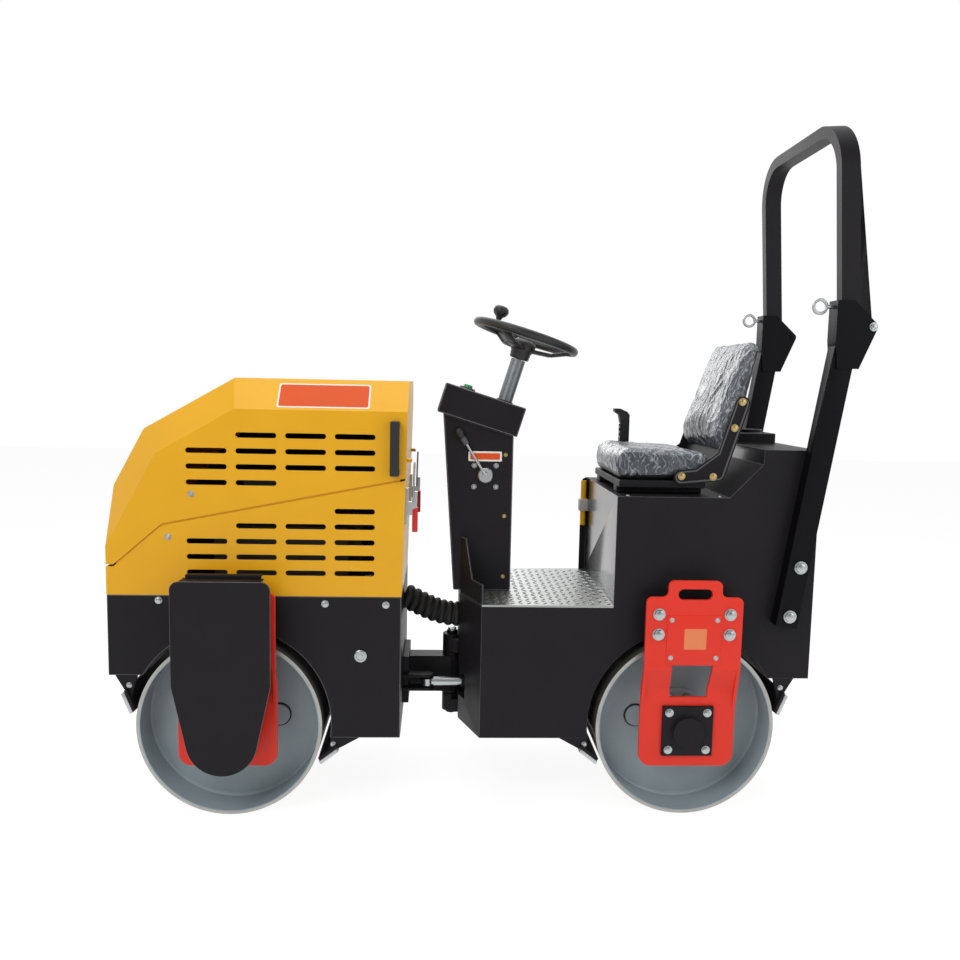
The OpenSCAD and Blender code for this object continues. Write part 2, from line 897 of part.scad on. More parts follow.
// Front view of a bracket
module bracket_outline() {
    hw = bracket_w / 2;
    tw = tab_w / 2;
    low = axle_z - bracket_low;
    wt = window_w / 2;
    wl = wt - window_taper / 2;
    difference() {
        union() {
            round_top(-hw, hw, axle_z, shoulder_z, shoulder_r);
            round_top(-tw, tw, axle_z, tab_z, shoulder_r);
            translate([0, 2 * axle_z])
                mirror([0, 1])
                    round_top(-hw, hw, axle_z, 2 * axle_z - low, corner_r);
            for (side = [-1, 1])
                difference() {
                    translate([side * tw - shoulder_r, shoulder_z - shoulder_r])
                        square([2 * shoulder_r, 2 * shoulder_r]);
                    translate([side * (tw + shoulder_r), shoulder_z + shoulder_r])
                        circle(r = shoulder_r);
                }
        }
        translate([0, tab_z - lift_drop])
            slot_2d(lift_len, lift_h);
        polygon([
            [-wt, axle_z + window_top],
            [wt, axle_z + window_top],
            [wl, axle_z + window_low],
            [-wl, axle_z + window_low]
        ]);
    }
}

// Bent plate that carries one end of a drum, on the left
module bracket_plate() {
    hw = bracket_w / 2;
    top = axle_z + joggle_top;
    low = axle_z + joggle_low;
    intersection() {
        union() {
            along(-hw, hw)
                polygon([
                    [plate_out, tab_z],
                    [plate_out, top],
                    [plate_low_out, low],
                    [plate_low_out, 0],
                    [bracket_low_y, 0],
                    [bracket_low_y, low],
                    [bracket_y, top],
                    [bracket_y, tab_z]
                ]);
            for (x = [-hw, hw - gusset_t])
                along(x, x + gusset_t)
                    polygon([
                        [plate_out, top],
                        [plate_low_out, low],
                        [plate_low_out, low - gusset_len]
                    ]);
        }
        across(0, far)
            bracket_outline();
    }
}

module brackets() {
    color(red)
        both_sides()
            bracket_plate();
}

module mounts() {
    color(black)
        both_sides()
            for (x = [-mount_dx, mount_dx], z = [mount_top_z, mount_top_z - mount_rows])
                rod_y(x, z, mount_r, half, bracket_y);
}

// Stub axles on both sides, bearing plates, and a drive motor behind the cover
module hubs() {
    plate_y = plate_low_out + bearing_t;
    color(black) {
        both_sides() {
            rod_y(0, axle_z, stub_r, disc_y + flange_t + play + sink, bracket_low_y);
            translate([-bearing_w / 2, plate_low_out, axle_z - bearing_w / 2])
                cube([bearing_w, bearing_t, bearing_w]);
        }
        rod_y(0, axle_z, cap_r, -plate_y - cap_h, -plate_y);
        rod_y(0, axle_z, motor_r, plate_y, cover_y - motor_gap);
    }
}

// Plate that covers the drive motor, with its top flange turned in to the bracket
module cover() {
    hw = cover_w / 2;
    top = tab_z - cover_top;
    knee = axle_z + cover_knee;
    foot = axle_z - cover_drop;
    a = atan2(knee - foot, hw) - acos(cover_r / norm([hw, knee - foot]));
    color(black) {
        across(cover_y, cover_y + sheet) {
            polygon([
                [-hw, top - cover_corner],
                [hw, top - cover_corner],
                [hw, knee],
                [cover_r * cos(a), foot + cover_r * sin(a)],
                [-cover_r * cos(a), foot + cover_r * sin(a)],
                [-hw, knee]
            ]);
            translate([0, foot])
                circle(r = cover_r);
            translate([cover_corner - hw, top - 2 * cover_corner])
                square([cover_w - 2 * cover_corner, 2 * cover_corner]);
            for (side = [-1, 1])
                translate([side * (hw - cover_corner), top - cover_corner])
                    circle(r = cover_corner);
        }
        translate([cover_corner - hw, plate_out, top - sheet])
            cube([cover_w - 2 * cover_corner, cover_gap + sheet, sheet]);
    }
}

// Bar of thickness t from p to q, drawn in X and Z
module bar_2d(p, q, t) {
    d = (q - p) / norm(q - p);
    n = [-d[1], d[0]] * t / 2;
    polygon([p + n, q + n, q - n, p - n]);
}

// Edge of a scraper blade near the drum, at an angle about the axle
function blade_foot(a) = [0, axle_z] + (axle_z + blade_gap) * [cos(a), sin(a)];

// Far end of a scraper blade that starts at an angle about the axle
function blade_end(a, slant) = blade_foot(a) + blade_len * [cos(slant), sin(slant)];

// Scraper arms at both frame sides with a blade across the drum
module scrapers() {
    hw = drum_w / 2 - blade_inset;
    outer_foot = blade_foot(outer_blade_a);
    outer_end = blade_end(outer_blade_a, 90 + outer_blade_a - blade_slant);
    inner_foot = blade_foot(180 + inner_blade_a);
    inner_end = blade_end(180 + inner_blade_a, 90 + inner_blade_a + blade_slant);
    color(black) {
        both_sides()
            across(half - scraper_t, half) {
                polygon([
                    [outer_end[0] - scraper_w / 2, outer_low_z],
                    (outer_foot + outer_end) / 2,
                    outer_end + [blade_t, 0],
                    [outer_end[0] + scraper_w / 2, outer_low_z]
                ]);
                polygon([
                    [inner_end[0] - scraper_w, inner_low_z],
                    inner_end - [blade_t, blade_t],
                    (inner_foot + inner_end) / 2,
                    [inner_end[0] + scraper_w / 3, inner_low_z]
                ]);
            }
        across(-hw, hw) {
            bar_2d(outer_foot, outer_end, blade_t);
            bar_2d(inner_foot, inner_end, blade_t);
        }
    }
}

// Drum in section from its middle to one end, as distance from the axle and along it
function drum_half() = [
    [0, disc_y + flange_t + play],
    [stub_r + run_fit, disc_y + flange_t + play],
    [stub_r + run_fit, disc_y + hub_len],
    [hub_r, disc_y + hub_len],
    [hub_r, disc_y + flange_t],
    [flange_r, disc_y + flange_t],
    [flange_r, disc_y],
    [axle_z - drum_shell, disc_y],
    [axle_z - drum_shell, drum_w / 2],
    [axle_z, drum_w / 2]
];

module drum() {
    end = drum_half();
    last = len(end) - 1;
    color(drum_grey) {
        rotate([90, 0, 0])
            translate([0, axle_z, 0])
                rotate_extrude($fn = 144)
                    polygon(concat(end, [for (i = [0 : last]) [end[last - i][0], -end[last - i][1]]]));
        both_sides()
            for (side = [-1, 1])
                rod_y(side * plug_dx, axle_z, plug_r, disc_y - sink, disc_y + plug_h);
    }
}

// Foot plate, arm, pivot boss and ram lugs on the front frame
module front_coupler() {
    plate_x = front_back_x - coupler_t;
    mid_z = boss_low_z + boss_h / 2;
    color(black)
        difference() {
            union() {
                translate([plate_x, -coupler_w / 2, mid_z - coupler_h / 2])
                    cube([coupler_t, coupler_w, coupler_h]);
                translate([pivot_x, -coupler_arm / 2, mid_z - coupler_arm_h / 2])
                    cube([plate_x - pivot_x, coupler_arm, coupler_arm_h]);
                translate([pivot_x, 0, boss_low_z])
                    cylinder(r = boss_r, h = boss_h);
                for (z = [ram_z - eye_h / 2 - lug_gap - lug_t, ram_z + eye_h / 2 + lug_gap]) {
                    translate([ram_eye_x, ram_y - eye_r - sink, z])
                        cube([front_back_x - ram_eye_x, 2 * (eye_r + sink), lug_t]);
                    translate([ram_eye_x, ram_y, z])
                        cylinder(r = eye_r + sink, h = lug_t);
                }
            }
            translate([pivot_x, 0, 0])
                cylinder(r = pivot_pin_r + run_fit, h = far);
            translate([pivot_x - far, -far / 2, 0])
                difference() {
                    cube([far, far, far]);
                    translate([far, far / 2, 0])
                        cylinder(r = boss_r, h = far);
                }
        }
}

// Cuts the chamfers of the rear frame's nose
module nose_chamfers() {
    both_sides()
        beyond([rear_side_x, half, 0], [half - nose_half, nose_cut, 0]);
}

module rear_chassis() {
    top = floor_z - floor_t;
    ears_low = boss_low_z - ear_gap - ear_h - notch_gap;
    ears_top = boss_top_z + ear_gap + ear_h + pin_out + notch_gap;
    color(black) {
        box_flange();
        difference() {
            across(-half, half)
                polygon([
                    [rear_nose_x, inner_low_z],
                    [rear_nose_x, top],
                    [seat_box_x, top],
                    [seat_box_x, seat_box_z],
                    [seat_back_x, seat_box_z],
                    [locker_x + sink, locker_z - locker_edge],
                    [locker_x, locker_z],
                    [rear_wall_x, locker_z],
                    [rear_wall_x, outer_low_z],
                    [-axle_x, outer_low_z],
                    [-axle_x, inner_low_z]
                ]);
            at_rear()
                drum_arch();
            nose_chamfers();
            translate([ram_pin_x - 2 * eye_r, ram_y - pocket_w / 2, ram_z - pocket_h / 2])
                cube([far, pocket_w, pocket_h]);
            translate([pivot_x, 0, ears_low])
                cylinder(r = boss_r + notch_gap, h = ears_top - ears_low);
        }
    }
}

// Upright flange along the seat box's right front edge
module box_flange() {
    across(-half, sheet - half) {
        translate([seat_box_x - sink, floor_z])
            square([flange_w + sink, seat_box_h - flange_w]);
        translate([seat_box_x - flange_w, seat_box_z - 2 * flange_w])
            square([flange_w, 2 * flange_w]);
        translate([seat_box_x, seat_box_z - flange_w])
            circle(r = flange_w);
    }
}

module floor_plate() {
    color(steel)
        difference() {
            translate([seat_box_x, -half, floor_z - floor_t])
                cube([rear_nose_x - seat_box_x, 2 * half, floor_t]);
            nose_chamfers();
        }
}

// Upright boards along the nose chamfers of the floor
module toe_boards() {
    run = half - nose_half;
    length = norm([run, nose_cut]);
    color(black)
        both_sides()
            translate([rear_side_x, half, floor_z])
                rotate([0, 0, atan2(-run, nose_cut)])
                    rotate([90, 0, 0])
                        linear_extrude(height = toe_t)
                            polygon([
                                [0, 0],
                                [0, toe_low],
                                [toe_len, toe_low],
                                [toe_len + toe_rise, toe_h],
                                [length, toe_h],
                                [length, 0]
                            ]);
}

// Height of the control head's underside at x, less the seam
function head_low_at(x) = head_z + (x - head_x) * tan(console_tilt) - seam;

module console_pedestal() {
    color(black)
        across(-pedestal_half, pedestal_half)
            polygon([
                [pedestal_foot_x, floor_z],
                [pedestal_head_x, head_low_at(pedestal_head_x)],
                [pedestal_back_x, head_low_at(pedestal_back_x)],
                [pedestal_back_x, floor_z]
            ]);
}

module console_head() {
    color(black)
        translate([head_x, 0, head_z])
            rotate([0, -console_tilt, 0])
                translate([0, -head_half, 0])
                    cube([head_len, 2 * head_half, head_depth]);
}

// Pivot disc, flat lever and ball knob on the pedestal's left face
module throttle_lever() {
    disc_t = throttle_r / 2;
    lever_t = throttle_r / 4;
    ball_r = throttle_r * 0.6;
    color(steel) {
        rod_y(throttle_x, throttle_z, throttle_r, pedestal_half, pedestal_half + disc_t);
        translate([throttle_x, pedestal_half + disc_t, throttle_z])
            rotate([0, throttle_slant, 0]) {
                translate([-lever_t, 0, -lever_t])
                    cube([2 * lever_t, lever_t, throttle_len + lever_t]);
                translate([0, lever_t, throttle_len])
                    sphere(r = ball_r);
            }
    }
}

// Puts a piece on the steering axis with the wheel's plane at zero height
module on_column() {
    translate([wheel_x, 0, wheel_z])
        rotate([0, -console_tilt, 0])
            children();
}

module steering_column() {
    color(steel)
        on_column() {
            translate([0, 0, seam - wheel_rise])
                cylinder(r = column_r, h = wheel_rise - column_gap - seam);
            translate([0, 0, -column_gap - shaft_r])
                cylinder(r = shaft_r, h = column_gap - dish + 2 * shaft_r - sink);
        }
}

// Rim, hub, three spokes and spinner knob
module steering_wheel() {
    low = column_gap - sink - play;
    run = wheel_r - shaft_r * 2;
    color(black)
        on_column() {
            rotate_extrude($fn = 96)
                translate([wheel_r, 0])
                    circle(r = rim_r, $fn = 32);
            difference() {
                translate([0, 0, -low])
                    cylinder(r1 = wheel_hub_r, r2 = wheel_hub_r * 1.3, h = wheel_hub_h);
                translate([0, 0, -low - sink])
                    cylinder(r = shaft_r + run_fit, h = low - dish + shaft_r + 2 * sink);
            }
            for (a = [60, 180, 300])
                rotate([0, 0, a])
                    translate([shaft_r * 2, 0, -dish])
                        rotate([0, 90 - atan(dish / run), 0])
                            cylinder(r = spoke_r, h = norm([dish, run]));
            rotate([0, 0, -54])
                translate([wheel_r, 0, 0]) {
                    cylinder(r = rim_r / 2, h = knob_h);
                    translate([0, 0, knob_h - knob_r])
                        cylinder(r = knob_r * 0.8, h = knob_r);
                    translate([0, 0, knob_h])
                        sphere(r = knob_r);
                }
        }
}

module seat_base() {
    color(black) {
        translate([cushion_back_x + pan_inset, -seat_half, seat_box_z + rail_h])
            cube([cushion_len - 2 * pan_inset, 2 * seat_half, pan_h]);
        for (side = [-1, 1])
            translate([cushion_back_x + pan_inset, side * rail_y - rail_w / 2, seat_box_z])
                cube([cushion_len - 2 * pan_inset, rail_w, rail_h]);
    }
}

module seat_cushion() {
    top = cushion_z + cushion_t;
    color(black)
        intersection() {
            across(-seat_half, seat_half)
                polygon([
                    [cushion_x, cushion_z + cushion_ease],
                    [cushion_x - cushion_ease, cushion_z],
                    [cushion_back_x, cushion_z],
                    [cushion_back_x, top - cushion_ease / 2],
                    [cushion_x - cushion_ease, top],
                    [cushion_x, top - cushion_ease]
                ]);
            translate([cushion_x - crown_r, 0, 0])
                cylinder(r = crown_r, h = far, $fn = 288);
            rotate([0, 0, -90])
                linear_extrude(height = far)
                    round_top(-seat_half, seat_half, cushion_back_x, cushion_x, cushion_corner);
        }
}

module seat_back() {
    d = back_t / 2;
    brow = brow_t - d;
    fall = atan2(d - brow, back_len - back_ease - swell_h);
    color(black)
        translate([cushion_back_x - back_behind, 0, cushion_z + back_h])
            rotate([0, -back_lean, 0])
                intersection() {
                    across(-seat_half, seat_half)
                        polygon([
                            [back_ease - d, 0],
                            [d - back_ease, swell_h / 3],
                            [d, swell_h],
                            [brow, back_len - back_ease],
                            [brow - back_ease / 2, back_len],
                            [back_ease / 2 - d, back_len],
                            [-d, back_len - back_ease / 2],
                            [-d, back_ease]
                        ]);
                    along(-back_t, back_t)
                        round_top(-seat_half, seat_half, 0, back_len, back_corner);
                    translate([d, 0, swell_h])
                        rotate([0, -fall, 0])
                            translate([-crown_r, 0, -far / 2])
                                cylinder(r = crown_r, h = far, $fn = 288);
                }
}

// Side arms that join cushion pan and backrest, each a bent strap with round ends
module seat_brackets() {
    low = cushion_z - pan_h + arm_w / 2 + play;
    fore = [cushion_back_x + arm_len, low + arm_w / 4];
    elbow = [cushion_back_x - arm_w / 4, low + arm_w / 2];
    tip = elbow + arm_rise * [-tan(arm_lean), 1];
    color(black)
        both_sides()
            across(seat_half, seat_half + arm_t) {
                bar_2d(fore, elbow, arm_w);
                bar_2d(elbow, tip, arm_w);
                polygon([elbow + [2 * arm_w, 0], elbow, elbow + 2 * arm_w * [-tan(arm_lean), 1]]);
                for (p = [fore, elbow, tip])
                    translate(p)
                        circle(r = arm_w / 2);
            }
}

// Box, gaiter and hooked grip of the lever on the seat's right
module travel_lever() {
    y = lever_box_w / 2 - half;
    w = lever_grip_w / 2;
    top = gaiter_h + lever_grip_h;
    hook = w + lever_hook;
    color(black) {
        translate([lever_x - lever_box_len / 2, -half, seat_box_z])
            cube([lever_box_len, lever_box_w, lever_box_h]);
        translate([lever_x, y, seat_box_z + lever_box_h]) {
            cylinder(r1 = lever_box_w / 2 - play, r2 = lever_grip_w * 0.6, h = gaiter_h);
            across(-w * 0.8, w * 0.8)
                polygon([
                    [-w, gaiter_h],
                    [-w, top - lever_hook],
                    [-w / 2, top - lever_hook / 2],
                    [w, top],
                    [hook, top],
                    [hook, top - lever_hook / 2],
                    [w * 1.3, top - lever_hook],
                    [w, top - 2 * lever_hook],
                    [w, gaiter_h]
                ]);
        }
    }
}

module tank_hatch() {
    x = (rear_wall_x + locker_x) / 2;
    color(black)
        translate([x, -hatch_y, locker_z]) {
            translate([-hatch_len / 2, -hatch_w / 2, 0])
                cube([hatch_len, hatch_w, hatch_h]);
            cylinder(r = tank_cap_r, h = hatch_h + tank_cap_h);
        }
}

// Tube for papers at the seat box's front wall, in its clip
module stow_tube() {
    clip_w = 3 * tube_r;
    color(yellow)
        translate([seat_box_x, tube_in - half, floor_z + tube_h]) {
            translate([clip_w / 2, 0, 0])
                cylinder(r = tube_r, h = tube_len);
            translate([0, -clip_w / 2, tube_len / 3])
                cube([clip_w, clip_w, clip_h]);
        }
}

// Puts a piece on the leaning leg, with the leg's foot at zero
module on_leg() {
    translate([leg_foot_x, 0, leg_foot_z])
        rotate([0, -leg_lean, 0])
            children();
}

// Point where a line from p touches a circle round c, on the chosen side
function touch(p, c, r, side) =
    let (d = p - c, a = atan2(d[1], d[0]) + side * acos(r / norm(d)))
    c + r * [cos(a), sin(a)];

// Cheek plate of the hoop's hinge, drawn in X and Z
module cheek_2d() {
    pin = [hoop_pin_x, hoop_pin_z];
    top = pin + [cheek_len - 51, cheek_rise];
    foot = pin + [cheek_len / 3, -cheek_drop];
    polygon([
        [cheek_x, hoop_pin_z + cheek_rise],
        top,
        touch(top, pin, tip_r, 1),
        pin,
        touch(foot, pin, tip_r, -1),
        foot,
        foot + [leg_d, 0],
        [cheek_x, hoop_pin_z - cheek_drop / 3]
    ]);
    translate(pin)
        circle(r = tip_r);
}

// Leaning legs with the hinge cheeks, cross webs and hinge bolts at their tops
module rops_legs() {
    web_t = 8;
    web_low = hoop_pin_z - leg_top_drop + sink;
    bolt_out = cheek_t + leg_t / 2 + 4;
    color(black)
        both_sides() {
            on_leg()
                translate([-leg_d / 2, half, 0])
                    cube([leg_d, leg_t, leg_len]);
            for (y = [half - cheek_t, half + leg_t - play])
                across(y, y + cheek_t + play)
                    cheek_2d();
            translate([cheek_x - web_t, half - play, web_low])
                cube([web_t, leg_t + 2 * play, hoop_pin_z + cheek_rise - web_low]);
            rod_y(hoop_pin_x, hoop_pin_z, hoop_bolt_r, hoop_y - bolt_out, hoop_y + bolt_out);
        }
}

// Spring pins with pull rings that lock the hoop upright
module rops_pins() {
    z = hoop_pin_z + lock_h;
    reach = ring_r + play;
    color(steel)
        both_sides() {
            rod_x(hoop_y, z, lock_r, cheek_x, cheek_x + reach);
            translate([cheek_x + reach + ring_r, hoop_y, z])
                rotate([90, 0, 0])
                    rotate_extrude($fn = 48)
                        translate([ring_r, 0])
                            circle(r = ring_r / 4, $fn = 24);
        }
}

// Bent tube with a hinge lug at each foot
module rops_hoop() {
    t = hoop_t / 2;
    d = hoop_d / 2;
    rise = (hoop_rise + hoop_drop) / cos(hoop_lean);
    bend_y = hoop_y + t - hoop_bend_r;
    lug_r = hoop_d * 0.44;
    color(black) {
        translate([hoop_x, 0, hoop_foot_z])
            rotate([0, hoop_lean, 0]) {
                both_sides() {
                    translate([-d, hoop_y - t, 0])
                        cube([hoop_d, hoop_t, rise - hoop_bend_r]);
                    translate([0, bend_y, rise - hoop_bend_r])
                        rotate([90, 0, 90])
                            rotate_extrude(angle = 90, $fn = 96)
                                translate([hoop_bend_r - hoop_t, -d])
                                    square([hoop_t, hoop_d]);
                }
                translate([-d, -bend_y, rise - hoop_t])
                    cube([hoop_d, 2 * bend_y, hoop_t]);
            }
        both_sides()
            difference() {
                across(hoop_y - t, hoop_y + t) {
                    polygon([
                        [hoop_x, hoop_pin_z + lug_r],
                        [hoop_pin_x, hoop_pin_z + tip_r],
                        [hoop_pin_x, hoop_pin_z - tip_r],
                        [hoop_x, hoop_pin_z - lug_r]
                    ]);
                    translate([hoop_pin_x, hoop_pin_z])
                        circle(r = tip_r);
                }
                rod_y(hoop_pin_x, hoop_pin_z, hoop_bolt_r + run_fit, -far, far);
            }
    }
}

// Ears and pin of the middle pivot, and the ram's rear pin in its pocket
module rear_knuckle() {
    ears = [boss_low_z - ear_gap - ear_h, boss_top_z + ear_gap];
    color(black) {
        for (z = ears) {
            translate([pivot_x, 0, z])
                cylinder(r = boss_r, h = ear_h);
            translate([rear_nose_x, -ear_w / 2, z + notch_gap])
                cube([pivot_x - rear_nose_x, ear_w, ear_h - 2 * notch_gap]);
        }
        translate([pivot_x, 0, ears[0] - pin_out])
            cylinder(r = pivot_pin_r, h = ears[1] + ear_h - ears[0] + 2 * pin_out);
    }
    color(steel)
        translate([ram_pin_x, ram_y, ram_z - pocket_h / 2])
            cylinder(r = ram_pin_r, h = pocket_h);
}

module ram_barrel() {
    color(black)
        difference() {
            union() {
                rod_x(ram_y, ram_z, barrel_r, ram_pin_x, rear_nose_x - ram_pin_r);
                translate([ram_pin_x, ram_y, ram_z - pocket_h / 2 + ram_pin_r])
                    cylinder(r = eye_r, h = pocket_h - 2 * ram_pin_r);
            }
            rod_x(ram_y, ram_z, rod_r + run_fit, ram_pin_x + 3 * eye_r, far);
            translate([ram_pin_x, ram_y, 0])
                cylinder(r = ram_pin_r + run_fit, h = far);
        }
}

module ram_rod() {
    start = ram_pin_x + ram_pin_dx * 0.46;
    color(steel) {
        rod_x(ram_y, ram_z, rod_r, start, ram_eye_x);
        translate([ram_eye_x, ram_y, ram_z - eye_h / 2])
            cylinder(r = eye_r, h = eye_h);
    }
}

// Hose sleeve between the frames, cut off at their walls
module hose_sleeve() {
    color(black)
        intersection() {
            translate([front_back_x, hose_y, front_top_z - hose_drop])
                rotate([0, -90 - hose_fall, 0])
                    translate([0, 0, -hose_r])
                        cylinder(r = hose_r, h = front_back_x - rear_nose_x + 3 * hose_r);
            translate([rear_nose_x, -far, 0])
                cube([front_back_x - rear_nose_x, 2 * far, far]);
        }
}

// Upper shell of the hood: roof, chamfers, nose and rear wall with hinge leaves and catches
module hood_top() {
    w = half - sheet;
    web_z = hinge_z + knuckle_r - sink;
    catch_t = 16;
    color(yellow) {
        intersection() {
            difference() {
                hood_form(0, half);
                hood_form(sheet, half + sheet);
            }
            above_split();
            translate([-far, -w, 0])
                cube([2 * far, 2 * w, far]);
        }
        for (side = [-1, 1]) {
            translate([0, side * hinge_y, 0]) {
                translate([front_nose_x - sink, play, split_foot_z + leaf_t])
                    cube([leaf_t + sink, hinge_len - play, leaf_h - leaf_t]);
                difference() {
                    union() {
                        rod_y(hinge_x, hinge_z, knuckle_r, play, hinge_len);
                        translate([front_nose_x - sink, play, web_z])
                            cube([hinge_x - front_nose_x + sink, hinge_len - play, knuckle_r + sink]);
                    }
                    rod_y(hinge_x, hinge_z, pin_r + run_fit, -far, far);
                }
            }
            on_back_wall()
                translate([-catch_t, side * latch_y - latch_w / 2, latch_catch_z()])
                    cube([catch_t + sink, latch_w, latch_w / 4]);
        }
    }
}

module hood_sides() {
    color(yellow)
        difference() {
            intersection() {
                hood_form(0, half);
                above_split();
                both_sides()
                    translate([-far, half - sheet, 0])
                        cube([2 * far, sheet, far]);
            }
            slot_row(slot_top_z, [1, 2, 3]);
            for (row = [1, 2])
                slot_row(slot_top_z - row * slot_pitch_z, [0, 1, 2, 3]);
            slot_row(slot_top_z - 3 * slot_pitch_z, [0, 1]);
        }
}

module hood_handles() {
    middle = [front_back_x + handle_in, front_top_z + handle_h];
    color(black)
        both_sides()
            difference() {
                across(half, half + handle_out)
                    translate(middle)
                        square([handle_w, handle_len], center = true);
                across(half - play, half + handle_out - handle_t)
                    translate(middle)
                        square([2 * handle_w, grip_len], center = true);
            }
}

// Moves the finished machine so that its outline is centred on the origin
module placed() {
    translate([shift_x, 0, 0])
        children();
}

placed() {
    front_chassis();
    engine_block();
    lower_panels();
    end_panels();
    hood_hinges();
    hood_latches();
    at_front() brackets();  // front_brackets
    at_front() mounts();  // front_mounts
    at_front() hubs();  // front_hubs
    at_front() cover();  // front_cover
    at_front() scrapers();  // front_scrapers
    front_coupler();
    at_front() drum();  // front_drum
    hood_top();
    hood_sides();
    hood_handles();
    rear_chassis();
    floor_plate();
    toe_boards();
    console_pedestal();
    console_head();
    throttle_lever();
    steering_column();
    steering_wheel();
    seat_base();
    seat_cushion();
    seat_back();
    seat_brackets();
    travel_lever();
    tank_hatch();
    stow_tube();
    rops_legs();
    rops_pins();
    rops_hoop();
    at_rear() brackets();  // rear_brackets
    at_rear() mounts();  // rear_mounts
    at_rear() hubs();  // rear_hubs
    at_rear() cover();  // rear_cover
    at_rear() scrapers();  // rear_scrapers
    rear_knuckle();
    ram_barrel();
    ram_rod();
    hose_sleeve();
    at_rear() drum();  // rear_drum
}
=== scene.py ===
import json
import math

import bmesh
import bpy
from mathutils import Matrix, Vector, noise


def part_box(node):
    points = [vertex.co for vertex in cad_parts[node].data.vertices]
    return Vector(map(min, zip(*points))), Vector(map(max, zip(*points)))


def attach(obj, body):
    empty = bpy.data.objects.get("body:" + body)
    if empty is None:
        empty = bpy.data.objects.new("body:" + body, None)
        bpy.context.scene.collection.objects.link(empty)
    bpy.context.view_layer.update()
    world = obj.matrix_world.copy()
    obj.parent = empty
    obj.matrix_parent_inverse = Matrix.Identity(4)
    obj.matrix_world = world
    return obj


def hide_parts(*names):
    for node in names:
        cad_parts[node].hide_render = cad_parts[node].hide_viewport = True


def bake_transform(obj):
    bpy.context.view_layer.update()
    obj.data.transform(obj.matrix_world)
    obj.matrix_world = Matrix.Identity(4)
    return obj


bl_info = {
    "name": "Double-drum road roller",
    "version": (1, 0, 0),
    "blender": (4, 5, 0),
    "location": "3D View > Sidebar > Roller",
    "description": "Dresses the roller's solids with finishes, fasteners, seat, hose and labels",
    "category": "Object",
}

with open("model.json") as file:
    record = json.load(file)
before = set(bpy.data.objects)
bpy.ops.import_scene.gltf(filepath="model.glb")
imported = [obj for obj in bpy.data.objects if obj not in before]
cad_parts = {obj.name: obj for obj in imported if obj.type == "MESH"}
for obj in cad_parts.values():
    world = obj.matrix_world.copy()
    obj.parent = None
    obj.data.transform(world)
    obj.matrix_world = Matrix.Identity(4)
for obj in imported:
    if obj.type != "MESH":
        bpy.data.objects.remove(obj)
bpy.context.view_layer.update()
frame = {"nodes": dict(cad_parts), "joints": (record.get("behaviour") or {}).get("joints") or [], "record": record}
JOINTS = {j["name"]: j for j in frame["joints"]}
BODY = {n: b for b, ns in frame["record"]["behaviour"]["bodies"].items() for n in ns}
MM = 0.001
# Places in millimetres: lengthwise from midway between the axles, sideways from the middle plane.
PIVOT_X = 23
HALF_BASE = 702
AXLE_HIGH = 280
FRAME_SIDE = 280
LEG_SIDE = 327
HINGE_SIDE = 333
BRACKET_FACE = 352
BEARING_FACE = 332
PANEL_FACE = 354.5
HUB_FACE = 209
CONSOLE_SIDE = 86
SEAT_ARM_SIDE = 222
# From this radius on a drum is bare steel, in metres.
SHELL_RADIUS = 0.272
# Least cosine between a face's normal and an axis for the face to count as facing along it.
FACING = 0.99
# Slant of the creases in the seat's film.
FILM_SLANT = math.radians(35)
SHIFT = JOINTS["steer"]["pos_m"][0] - PIVOT_X * MM
AXLE = JOINTS["front_drum_spin"]["pos_m"][2]
AXLE_X = {end: JOINTS[end + "_drum_spin"]["pos_m"][0] for end in ("front", "rear")}
SIDES = ((1, "left"), (-1, "right"))
ENDS = (("front", 1), ("rear", -1))
AHEAD, LEFT, UP = Vector((1, 0, 0)), Vector((0, 1, 0)), Vector((0, 0, 1))
# The steering column leans back.
COLUMN_TILT = math.radians(17)
COLUMN_UP = Vector((-math.sin(COLUMN_TILT), 0, math.cos(COLUMN_TILT)))
COLUMN_AHEAD = Vector((math.cos(COLUMN_TILT), 0, math.sin(COLUMN_TILT)))


def at(x, y, z):
    """Point of the machine in metres, from millimetres counted midway between the axles."""
    return Vector((SHIFT + x * MM, y * MM, z * MM))


def colour(hex_code):
    """Linear colour of an sRGB hex value."""
    parts = [int(hex_code[i : i + 2], 16) / 255 for i in (1, 3, 5)]
    return tuple(c / 12.92 if c <= 0.04045 else ((c + 0.055) / 1.055) ** 2.4 for c in parts) + (1.0,)


def shade(base, factor, lift=0.0):
    """Colour made darker or paler."""
    return tuple(min(1.0, c * factor + lift) for c in base[:3]) + (1.0,)


def fill(tree, node, inputs):
    """Sets or links a node's inputs."""
    for key, value in inputs.items():
        if isinstance(value, bpy.types.NodeSocket):
            tree.links.new(value, node.inputs[key])
        else:
            node.inputs[key].default_value = value


def add(tree, kind, settings=None, inputs=None):
    """Adds a node, sets its options and fills its inputs."""
    node = tree.nodes.new(kind)
    for key, value in (settings or {}).items():
        setattr(node, key, value)
    fill(tree, node, inputs or {})
    return node


def new_material(name):
    """Material with a plain shader, and the coordinates for its textures."""
    mat = bpy.data.materials.new(name)
    mat.use_nodes = True
    tree = mat.node_tree
    tree.nodes.clear()
    shader = add(tree, "ShaderNodeBsdfPrincipled")
    add(tree, "ShaderNodeOutputMaterial", {}, {"Surface": shader.outputs[0]})
    where = add(tree, "ShaderNodeTexCoord").outputs["Object"]
    return mat, tree, shader, where


def per_metre(size_mm):
    """Noise scale that gives features of a size."""
    return 1000.0 / size_mm


def clouds(tree, where, size_mm, detail):
    """Soft noise with features of a size."""
    return add(
        tree, "ShaderNodeTexNoise", {}, {"Vector": where, "Scale": per_metre(size_mm), "Detail": detail}
    )


